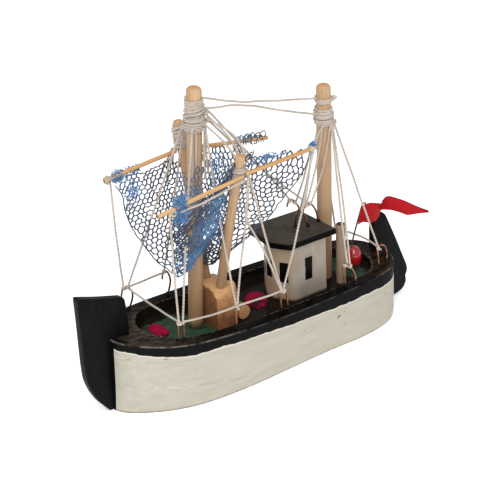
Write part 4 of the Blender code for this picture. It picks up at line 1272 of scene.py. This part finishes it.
ROOF_STAYS = [
    [(16.4, 2.0, 94.4), (-1.0, 1.4, 72.6), (-17.4, 0.4, 51.4)],
    [(16.6, 2.8, 91.0), (-2.4, 2.6, 69.4), (-23.4, 2.2, 48.8)],
    [(-13.4, 17.0, 76.4), (-16.8, 8.8, 62.4), (-20.0, 0.4, 49.9)],
    [(-14.0, 17.0, 76.2), (-18.0, 9.8, 62.4), (-22.2, 2.1, 48.3)],
    [(-30.6, 2.0, 75.0), (-27.6, 2.1, 61.6), (-23.0, 2.2, 48.7)],
    [(-33.2, 2.9, 75.0), (-30.2, 2.7, 61.0), (-25.0, 2.2, 48.4)],
    [(-14.2, 17.2, 76.2), (-10.6, 16.8, 59.6), (-6.4, 16.2, 43.6), (-2.2, 15.3, 28.8)],
    [(-30.8, 2.4, 75.4), (-22.4, 9.6, 76.0), (-14.0, 17.0, 77.0)],
]
AFT_STAYS = [
    [(-34.9, 2.4, 75.2), (-41.0, 7.2, 50.0), (-46.5, 11.2, 28.2)],
    [(-46.6, 11.2, 28.3), (-48.6, 0.0, 27.4), (-46.8, -12.4, 26.9)],
]
LIFELINES = [
    [(38.4, -14.9, 31.2), (38.2, -1.0, 30.1), (37.4, 13.4, 29.4)],
    [(37.0, 13.4, 29.9), (27.0, 15.0, 29.5), (17.4, 15.7, 29.6)],
    [(17.2, 15.7, 29.7), (7.6, 15.6, 29.0), (-1.6, 15.3, 28.6)],
    [(38.8, -14.9, 31.8), (30.4, -16.2, 31.2), (22.6, -17.0, 31.0)],
]
NET_HANGERS = [
    [(22.6, 2.4, 88.0), (23.0, 2.8, 80.0), (23.6, 3.4, 72.0)],
    [(21.4, 2.9, 88.0), (21.6, 3.0, 80.0), (22.4, 3.4, 71.0)],
    [(17.9, 2.8, 88.0), (18.4, 2.9, 79.0), (18.6, 3.4, 71.0)],
    [(17.4, 2.4, 88.2), (17.6, 2.9, 80.0), (17.2, 3.2, 72.4)],
    [(17.2, -15.6, 75.0), (18.6, -16.4, 70.0), (20.2, -16.4, 63.0)],
    [(17.4, -15.4, 75.0), (17.2, -16.4, 70.0), (16.8, -16.2, 66.0)],
    [(17.6, -15.8, 75.2), (21.0, -16.4, 69.0), (23.0, -16.2, 65.4)],
    [(39.4, 18.4, 71.2), (28.0, 18.5, 72.2), (14.8, 18.9, 74.6)],
]


def make_threads():
    for name, group, slack, replaces in (
        ("masthead_stays", STAYS, 0.35, ["masthead_stay"]),
        ("port_aft_shrouds", PORT_AFT_SHROUDS, 0.1, ["port_aft_shroud"]),
        ("starboard_aft_shrouds", STARBOARD_AFT_SHROUDS, 0.1, ["starboard_aft_shroud"]),
        ("fore_stays", FORE_STAYS, 0.12, ()),
        ("derrick_falls", DERRICK_FALLS, 0.15, ()),
        ("roof_stays", ROOF_STAYS, 0.12, ()),
        ("aft_stays", AFT_STAYS, 0.12, ()),
        ("lifelines", LIFELINES, 0.2, ()),
        ("net_hangers", NET_HANGERS, 0.3, ()),
    ):
        shape = Shape()
        for points in group:
            thread(shape, points, slack)
        shape.make(name + "_thread", COTTON, "cotton_thread", replaces)

    shape = Shape()
    for place in ((38.6, 13.5, 29.9), (37.0, 13.4, 29.9), (17.4, 15.7, 29.6), (17.1, 15.6, 28.8), (-1.5, 15.3, 28.7),
                  (-2.4, 15.3, 28.3), (-28.7, 15.1, 28.7), (-30.6, 15.3, 28.0), (-46.4, 11.2, 28.0),
                  (38.9, -14.8, 31.9), (40.6, -14.6, 32.3), (22.5, -17.0, 31.3), (-19.6, 0.3, 49.7),
                  (-17.4, 0.3, 51.0), (-22.6, 2.2, 48.3), (-24.2, 2.2, 48.4), (-30.6, -15.1, 27.4),
                  (-46.7, -12.4, 26.6), (13.0, 17.1, 59.8)):
        knot(shape, place, 3, 0.5, tail=0.9 if place[2] < 40 else 0.0)
    for place in ((41.6, 17.4, 71.4), (42.6, -16.9, 70.9), (-13.6, 17.2, 76.8)):
        knot(shape, place, 4, 1.0, tail=1.2)
    shape.make("thread_knots", COTTON, "cotton_thread")


# Net

# The net's edges and its lowest line, each with a smooth curve through its points
NET_FORE_TO_KEEL = [(40.9, -17.0, 69.6), (38.1, -15.8, 64.6), (38.5, -13.5, 59.2), (38.2, -10.5, 54.4),
                    (36.6, -7.0, 49.5), (34.3, -3.0, 44.1), (30.2, 2.0, 39.3)]
NET_FORE_TO_PORT = [(30.2, 2.0, 39.3), (33.4, 5.6, 46.4), (36.6, 9.4, 54.4), (39.4, 13.2, 62.6), (40.6, 17.0, 71.0)]
NET_AFT_TO_KEEL = [(-17.2, -17.0, 66.2), (-9.0, -13.4, 55.6), (-1.8, -9.8, 47.6), (5.0, -5.6, 41.4),
                   (11.4, -1.6, 38.2)]
NET_AFT_TO_PORT = [(11.4, -1.6, 38.2), (6.9, 3.0, 43.2), (0.2, 8.0, 50.5), (-2.5, 10.0, 54.7), (-6.1, 12.5, 60.9),
                   (-10.5, 15.0, 66.9), (-14.2, 17.0, 76.0)]
NET_STARBOARD_EDGE = [(40.9, -17.0, 69.6), (34.8, -16.8, 71.0), (28.6, -16.6, 70.6), (23.4, -16.5, 71.2),
                      (15.1, -16.5, 72.0), (6.0, -16.5, 72.2), (-2.0, -16.5, 70.8), (-9.4, -16.6, 69.0),
                      (-17.2, -17.0, 66.2)]
NET_KEEL = [(30.2, 2.0, 39.3), (26.8, 3.4, 41.6), (22.4, 4.0, 46.4), (18.6, 0.4, 42.4), (17.0, -1.0, 38.8),
            (14.6, -1.2, 37.4), (11.4, -1.6, 38.2)]
NET_PORT_EDGE = [(40.6, 17.0, 71.0), (32.0, 17.2, 72.4), (24.0, 17.2, 75.0), (16.0, 17.0, 82.4), (8.4, 16.7, 83.8),
                 (0.6, 16.6, 82.8), (-5.4, 16.6, 80.2), (-10.6, 16.8, 79.4), (-14.2, 17.0, 77.2)]
# Rows of cells from the starboard edge to the keel, and from there to the port edge
NET_ROWS = (26, 26)
CELL_WIDTH = 0.9
CELL_HEIGHT = 1.5


def along_curve(points, share):
    """The point a share of the way along the smooth curve through the given ones."""
    return catmull(points, share * (len(points) - 1))


def net_surface(u, v):
    """Point of the net, u from the fore to the aft selvedge and v from starboard to port."""
    if v < 0.5:
        top, low, fore, aft = NET_STARBOARD_EDGE, NET_KEEL, NET_FORE_TO_KEEL, NET_AFT_TO_KEEL
    else:
        top, low, fore, aft = NET_KEEL, NET_PORT_EDGE, NET_FORE_TO_PORT, NET_AFT_TO_PORT
    t = 2.0 * v if v < 0.5 else 2.0 * v - 1.0
    lengthwise = between(along_curve(top, u), along_curve(low, u), t)
    crosswise = between(along_curve(fore, t), along_curve(aft, t), u)
    corners = between(between(top[0], top[-1], u), between(low[0], low[-1], u), t)
    point = lengthwise + crosswise - corners
    billow = math.sin(math.pi * u) * math.sin(math.pi * t)
    return point + billow * np.array((0.0, 1.4 * wobble(point, 9.0), 0.8 * wobble(point, 7.0, 4.0)))


def struts(shape, starts, ends, thick, thin, dense):
    """Many short cords at once, thicker at their ends where the knots are."""
    starts, ends = np.asarray(starts, float), np.asarray(ends, float)
    along = ends - starts
    length = np.maximum(np.linalg.norm(along, axis=1, keepdims=True), 1e-6)
    along = along / length
    helper = np.where(np.abs(along[:, 2:3]) < 0.9, np.array([[0.0, 0.0, 1.0]]), np.array([[0.0, 1.0, 0.0]]))
    across = np.cross(along, helper)
    across /= np.linalg.norm(across, axis=1, keepdims=True)
    over = np.cross(along, across)
    rings = []
    for share, radius in ((-0.03, thick), (0.25, thin), (0.75, thin), (1.03, thick)):
        middle = starts + (ends - starts) * share
        for k in range(4):
            a = math.pi / 2 * k + 0.4
            rings.append(middle + radius * (math.cos(a) * across + math.sin(a) * over))
    points = np.stack(rings, axis=1).reshape(-1, 3)
    faces = []
    for n in range(len(starts)):
        base = n * 16
        for r in range(3):
            for k in range(4):
                m = (k + 1) % 4
                low, high = base + r * 4, base + r * 4 + 4
                faces.append((low + k, low + m, high + m, high + k))
        faces.append((base + 3, base + 2, base + 1, base))
        faces.append((base + 12, base + 13, base + 14, base + 15))
    shape.add(points, faces, dense=np.repeat(np.asarray(dense, float), 16))


def in_dowel(point):
    """True where a mast or a derrick stands in the net's way."""
    for low, high, radius in (
        (fore_mast(30.0), fore_mast(95.0), MAST_RADIUS),
        (derrick(1, 0.0), derrick(1, 1.0), DERRICK_RADIUS),
        (derrick(-1, 0.0), derrick(-1, 1.0), DERRICK_RADIUS),
    ):
        axis = unit(high - low)
        away = point - low
        if np.linalg.norm(away - axis * np.dot(away, axis)) < radius + 0.35:
            return True
    return False


def bunching(point):
    """How bunched the net is near a point: 0 where it hangs as one layer, 1 in a tight fold."""
    share = 0.0
    for (x, y, z), reach in (((39.0, 17.0, 71.0), 6.5), ((38.0, -17.0, 70.5), 5.0), ((34.5, -15.8, 65.0), 4.5),
                             ((-13.6, 17.0, 76.0), 3.5), ((27.0, 4.0, 46.0), 8.0), ((22.5, 8.0, 58.0), 9.0),
                             ((17.0, 8.5, 60.0), 8.0), ((22.0, 13.0, 68.0), 6.0), ((2.0, -14.5, 64.0), 7.0)):
        away = np.linalg.norm(point - np.array((x, y, z))) / reach
        share = max(share, 1.15 - away)
    patchy = 0.75 + 0.5 * wobble(point, 1.6)
    return min(1.0, max(0.0, share * patchy))


def honeycomb(shape, surface, levels, keep, pick, jitter, cell=1.0, thick=0.3, thin=0.22, least=0.0):
    """Hexagonal netting on a surface given by u and v, with a row of cells at each of the levels of v.

    Columns are as wide everywhere, so that a narrow part has fewer cells and not smaller ones.
    """
    across = np.linspace(0.0, 1.0, 25)
    count = np.arange(len(levels))
    nodes = {}
    for i in count:
        line = np.array([surface(u, levels[i]) for u in across])
        reach = np.r_[0.0, np.cumsum(np.linalg.norm(np.diff(line, axis=0), axis=1))]
        middle = float(np.interp(0.5, across, reach))
        for j in range(-60, 61):
            run = middle + j * CELL_WIDTH * cell
            u = float(np.interp(run, reach, across))
            v = float(np.interp(i + (0.17 if (i + j) % 2 == 0 else -0.17), count, levels))
            if not 0.0 <= run <= reach[-1] or not keep(u, v):
                continue
            point = surface(u, v)
            drift = np.array([wobble(point, 3.2, seed) for seed in (2.0, 6.0, 11.0)]) * jitter * 1.8
            point = point + drift + np.array([pick.uniform(-1, 1) for _ in range(3)]) * jitter * 0.4
            if not in_dowel(point):
                nodes[i, j] = point
    links = set()
    for i, j in nodes:
        for near, there in (((i, j + 1), True), ((i + 1, j), (i + j) % 2 == 0)):
            if there and near in nodes and pick.random() > 0.03:
                links.add(((i, j), near))
    for _ in range(3):
        ties = {}
        for link in links:
            for end in link:
                ties[end] = ties.get(end, 0) + 1
        links = {link for link in links if ties[link[0]] > 1 and ties[link[1]] > 1}
    links = sorted(links)
    dense = [max(least * pick.uniform(0.7, 1.2), bunching(nodes[link[0]])) for link in links]
    if links:
        struts(shape, [nodes[low] for low, _ in links], [nodes[high] for _, high in links], thick, thin, dense)


def make_net():
    pick = random.Random(17)
    shape = Shape()
    ragged = [pick.uniform(0.0, 1.0) ** 2 for _ in range(61)]

    def keep(u, v):
        notch = 0.002 + 0.024 * ragged[int(u * 30)]
        return notch <= v <= 1.0 - notch

    for half, cell in ((0, 1.0), (1, 1.2)):
        levels = np.linspace(0.5 * half, 0.5 + 0.5 * half, NET_ROWS[half])
        honeycomb(shape, net_surface, levels, keep, pick, 0.36, cell, 0.34, 0.25)
    rails = [[(u, v) for v in np.linspace(0.03, 0.97, 120)] for u in (0.0, 1.0)]
    rails.append([(u, 0.5) for u in np.linspace(0.0, 1.0, 60)])
    for places in rails:
        u = places[0][0]
        rail = np.array([net_surface(*place) for place in places])
        rail += np.array([[0.35 * wobble(point, 2.0, seed) for seed in (1.0, 2.0, 3.0)] for point in rail])
        struts(shape, rail[:-1], rail[1:], 0.24, 0.22, [0.6 * (1.0 - u) * bunching(point) for point in rail[:-1]])
    mesh = shape.make("net_mesh", NET_CORD, "net_cord", ["net"], crease=60.0)

    # Folds gathered at the mast and streaming down to the lowest point
    shape = Shape()

    def curtain(left_top, left_low, right_top, right_low, depth, folds):
        corners = [np.array(corner, float) for corner in (left_top, left_low, right_top, right_low)]

        def surface(u, v):
            point = between(between(corners[0], corners[1], v), between(corners[2], corners[3], v), u)
            fold = math.sin(2.0 * math.pi * folds * u + 2.0 * v)
            return point + np.array((0.35 * fold, depth * fold, 0.25 * math.cos(5.0 * u)))
        return surface

    for left_top, left_low, right_top, right_low, depth, folds, cell, least in (
        ((30.8, 4.2, 79.8), (31.0, 4.4, 66.5), (19.6, 4.0, 77.5), (20.4, 4.4, 63.5), 0.5, 2, (1.05, 0.95), 0.35),
        ((28.6, 4.8, 73.5), (29.4, 4.8, 64.5), (20.4, 4.4, 71.5), (20.8, 4.6, 62.5), 0.4, 2, (0.85, 0.8), 0.85),
        ((23.1, 4.6, 66.0), (28.0, 3.8, 40.8), (19.4, 4.2, 66.0), (21.6, 4.4, 46.4), 0.4, 2, (0.75, 1.0), 0.9),
        ((24.6, 5.2, 52.0), (30.0, 3.4, 39.9), (21.4, 4.6, 52.0), (24.6, 4.6, 43.2), 0.3, 1, (0.6, 0.9), 0.9),
        ((38.0, 15.6, 71.4), (33.4, 4.0, 45.4), (32.0, 14.6, 71.4), (29.6, 4.4, 42.6), 0.8, 2, (1.3, 1.25), 0.75),
        ((22.4, 6.4, 68.4), (21.6, 5.6, 51.0), (11.4, 8.4, 66.0), (13.8, 6.4, 49.0), 0.8, 3, (1.35, 1.2), 0.8),
        ((6.0, -13.2, 72.0), (6.6, -12.0, 56.0), (-4.4, -14.8, 69.4), (-3.0, -12.6, 56.0), 0.7, 2, (1.1, 1.0), 0.5),
        ((4.2, -13.8, 70.0), (4.8, -12.6, 58.0), (0.6, -14.4, 69.4), (0.8, -13.0, 58.0), 0.5, 1, (0.8, 0.9), 0.85),
        ((33.8, -16.3, 71.6), (37.8, -15.2, 60.0), (28.8, -16.3, 71.2), (34.2, -15.0, 58.8), 0.4, 1, (0.75, 0.85), 0.85),
        ((-12.0, -16.2, 71.2), (-12.0, -17.2, 66.8), (-20.6, -16.8, 69.6), (-21.2, -17.4, 65.8), 0.7, 2, (0.95, 0.8), 0.2),
    ):
        deep = np.linalg.norm(np.subtract(left_low, left_top))
        tatter = pick.uniform(0.0, 6.0)
        honeycomb(shape, curtain(left_top, left_low, right_top, right_low, depth, folds),
                  np.linspace(0.0, 1.0, int(deep / (CELL_HEIGHT * cell[1])) + 1),
                  lambda u, v: v > 0.14 * (1.0 + math.sin(9.0 * u + tatter)), pick, 0.3, cell[0], 0.2, 0.14, least)
    gathers = shape.make("net_folds", NET_CORD, "net_cord", crease=60.0)

    # Knotted bunches at the four stick ends
    shape = Shape()
    for centre, spread, count, size in (
        ((38.4, 17.2, 71.4), (2.8, 1.1, 4.8), 470, 1.1), ((38.8, -16.9, 71.0), (2.2, 0.9, 1.8), 170, 1.1),
        ((33.4, -16.8, 71.4), (4.0, 0.7, 1.2), 64, 1.2), ((34.0, -15.8, 66.4), (1.0, 0.7, 4.6), 20, 1.1),
        ((-14.0, 17.1, 77.4), (1.4, 0.9, 1.5), 60, 0.9), ((6.0, 17.0, 78.6), (9.0, 0.7, 0.8), 44, 1.3),
    ):
        starts, ends = [], []
        for _ in range(count):
            place = np.array([middle + 0.5 * width * max(-1.7, min(1.7, pick.gauss(0, 1)))
                              for middle, width in zip(centre, spread)])
            aim = unit(np.array([pick.gauss(0, 1) for _ in range(3)])) * size * 0.5
            curl = unit(np.cross(aim, (0.3, 1.0, 0.2))) * size * 0.35
            starts += [place, place + aim + curl]
            ends += [place + aim + curl, place + aim * 2.0]
        struts(shape, starts, ends, 0.18, 0.14, [pick.uniform(0.55, 1.0) for _ in starts])
    steps = 150
    coil = []
    for k in range(steps + 1):
        share = k / steps
        angle = 2.0 * math.pi * 6.0 * share
        radius = 1.45 + 0.3 * math.sin(23.0 * share)
        _, middle_y, middle_z = between((11.8, -15.0, 73.5), (-22.2, -17.2, 66.7), 0.6 + 0.19 * share)
        coil.append(np.array((-8.8 - 6.6 * share + 0.8 * math.sin(angle), middle_y + radius * math.sin(angle),
                              middle_z + 0.2 + radius * math.cos(angle))))
    struts(shape, coil[:-1], coil[1:], 0.2, 0.2, [0.45 + 0.4 * wobble(point, 1.5) for point in coil[:-1]])
    right, up = np.array(CAMERA_RIGHT), np.array(CAMERA_UP)
    for number in range(7):
        middle = between((-13.0, -16.6, 69.0), (-20.0, -17.0, 67.8), number / 6.0)
        middle = middle + (pick.uniform(-0.3, 0.3) - 0.9 * (number % 2) + 0.7) * up
        size = pick.uniform(0.85, 1.15)
        loop = [middle + size * (math.cos(a) * right + 0.8 * math.sin(a) * up) + 0.4 * math.sin(2.0 * a) * unit(middle)
                for a in np.linspace(0.0, 2.0 * math.pi, 9)]
        struts(shape, loop[:-1], loop[1:], 0.22, 0.19, [0.12] * 8)
    for number in range(5):
        middle = np.array((-13.4 - 0.5 * number, 17.1, 77.2 + 0.4 * (number % 3)))
        loop = [middle + 0.75 * np.array((math.cos(a), 0.4 * math.sin(a), math.sin(a)))
                for a in np.linspace(0.0, 2.0 * math.pi, 9)]
        struts(shape, loop[:-1], loop[1:], 0.18, 0.15, [0.5] * 8)
    tufts = shape.make("net_bunches", NET_CORD, "net_cord", crease=60.0)


make_hull()
make_boards()
make_sticks()
make_block()
make_house()
make_bead()
make_felt()
make_wires()
make_flag()
make_windings()
make_threads()
make_net()


# Camera, light and floor

def make_studio():
    scene = bpy.context.scene
    data = bpy.data.cameras.new("photo_camera")
    data.lens = CAMERA_LENS
    data.sensor_width = 36.0
    data.clip_start = 0.02
    data.clip_end = 20.0
    camera = bpy.data.objects.new("photo_camera", data)
    scene.collection.objects.link(camera)
    right, up = Vector(CAMERA_RIGHT), Vector(CAMERA_UP)
    back = right.cross(up)
    matrix = camera.matrix_world.copy()
    for column, axis in enumerate((right, up, back, Vector(CAMERA_PLACE) * MM)):
        for row in range(3):
            matrix[row][column] = axis[row]
    camera.matrix_world = matrix
    scene.camera = camera

    world = bpy.data.worlds.new("studio")
    world.use_nodes = True
    world.node_tree.nodes["Background"].inputs["Color"].default_value = (1.0, 1.0, 1.0, 1.0)
    world.node_tree.nodes["Background"].inputs["Strength"].default_value = 0.62
    scene.world = world
    scene.view_settings.view_transform = "Standard"

    key = bpy.data.lights.new("key", "AREA")
    key.shape = "DISK"
    key.size = 0.7
    key.energy = 5.0
    lamp = bpy.data.objects.new("key", key)
    scene.collection.objects.link(lamp)
    lamp.location = (0.34, 0.4, 0.62)
    lamp.rotation_euler = (Vector((0, 0, 0.04)) - Vector(lamp.location)).to_track_quat("-Z", "Y").to_euler()

    floor = bpy.data.meshes.new("floor")
    reach = 4.0
    floor.from_pydata([(-reach, -reach, 0), (reach, -reach, 0), (reach, reach, 0), (-reach, reach, 0)],
                      [], [(0, 1, 2, 3)])
    table = bpy.data.objects.new("floor", floor)
    scene.collection.objects.link(table)
    f = Finish("pale_floor", roughness=0.9, specular=0.1)
    f.paint((0.92, 0.92, 0.92, 1.0))
    f.shader.inputs["Emission Color"].default_value = (1.0, 1.0, 1.0, 1.0)
    f.shader.inputs["Emission Strength"].default_value = 0.4
    floor.materials.append(f.material)


make_studio()
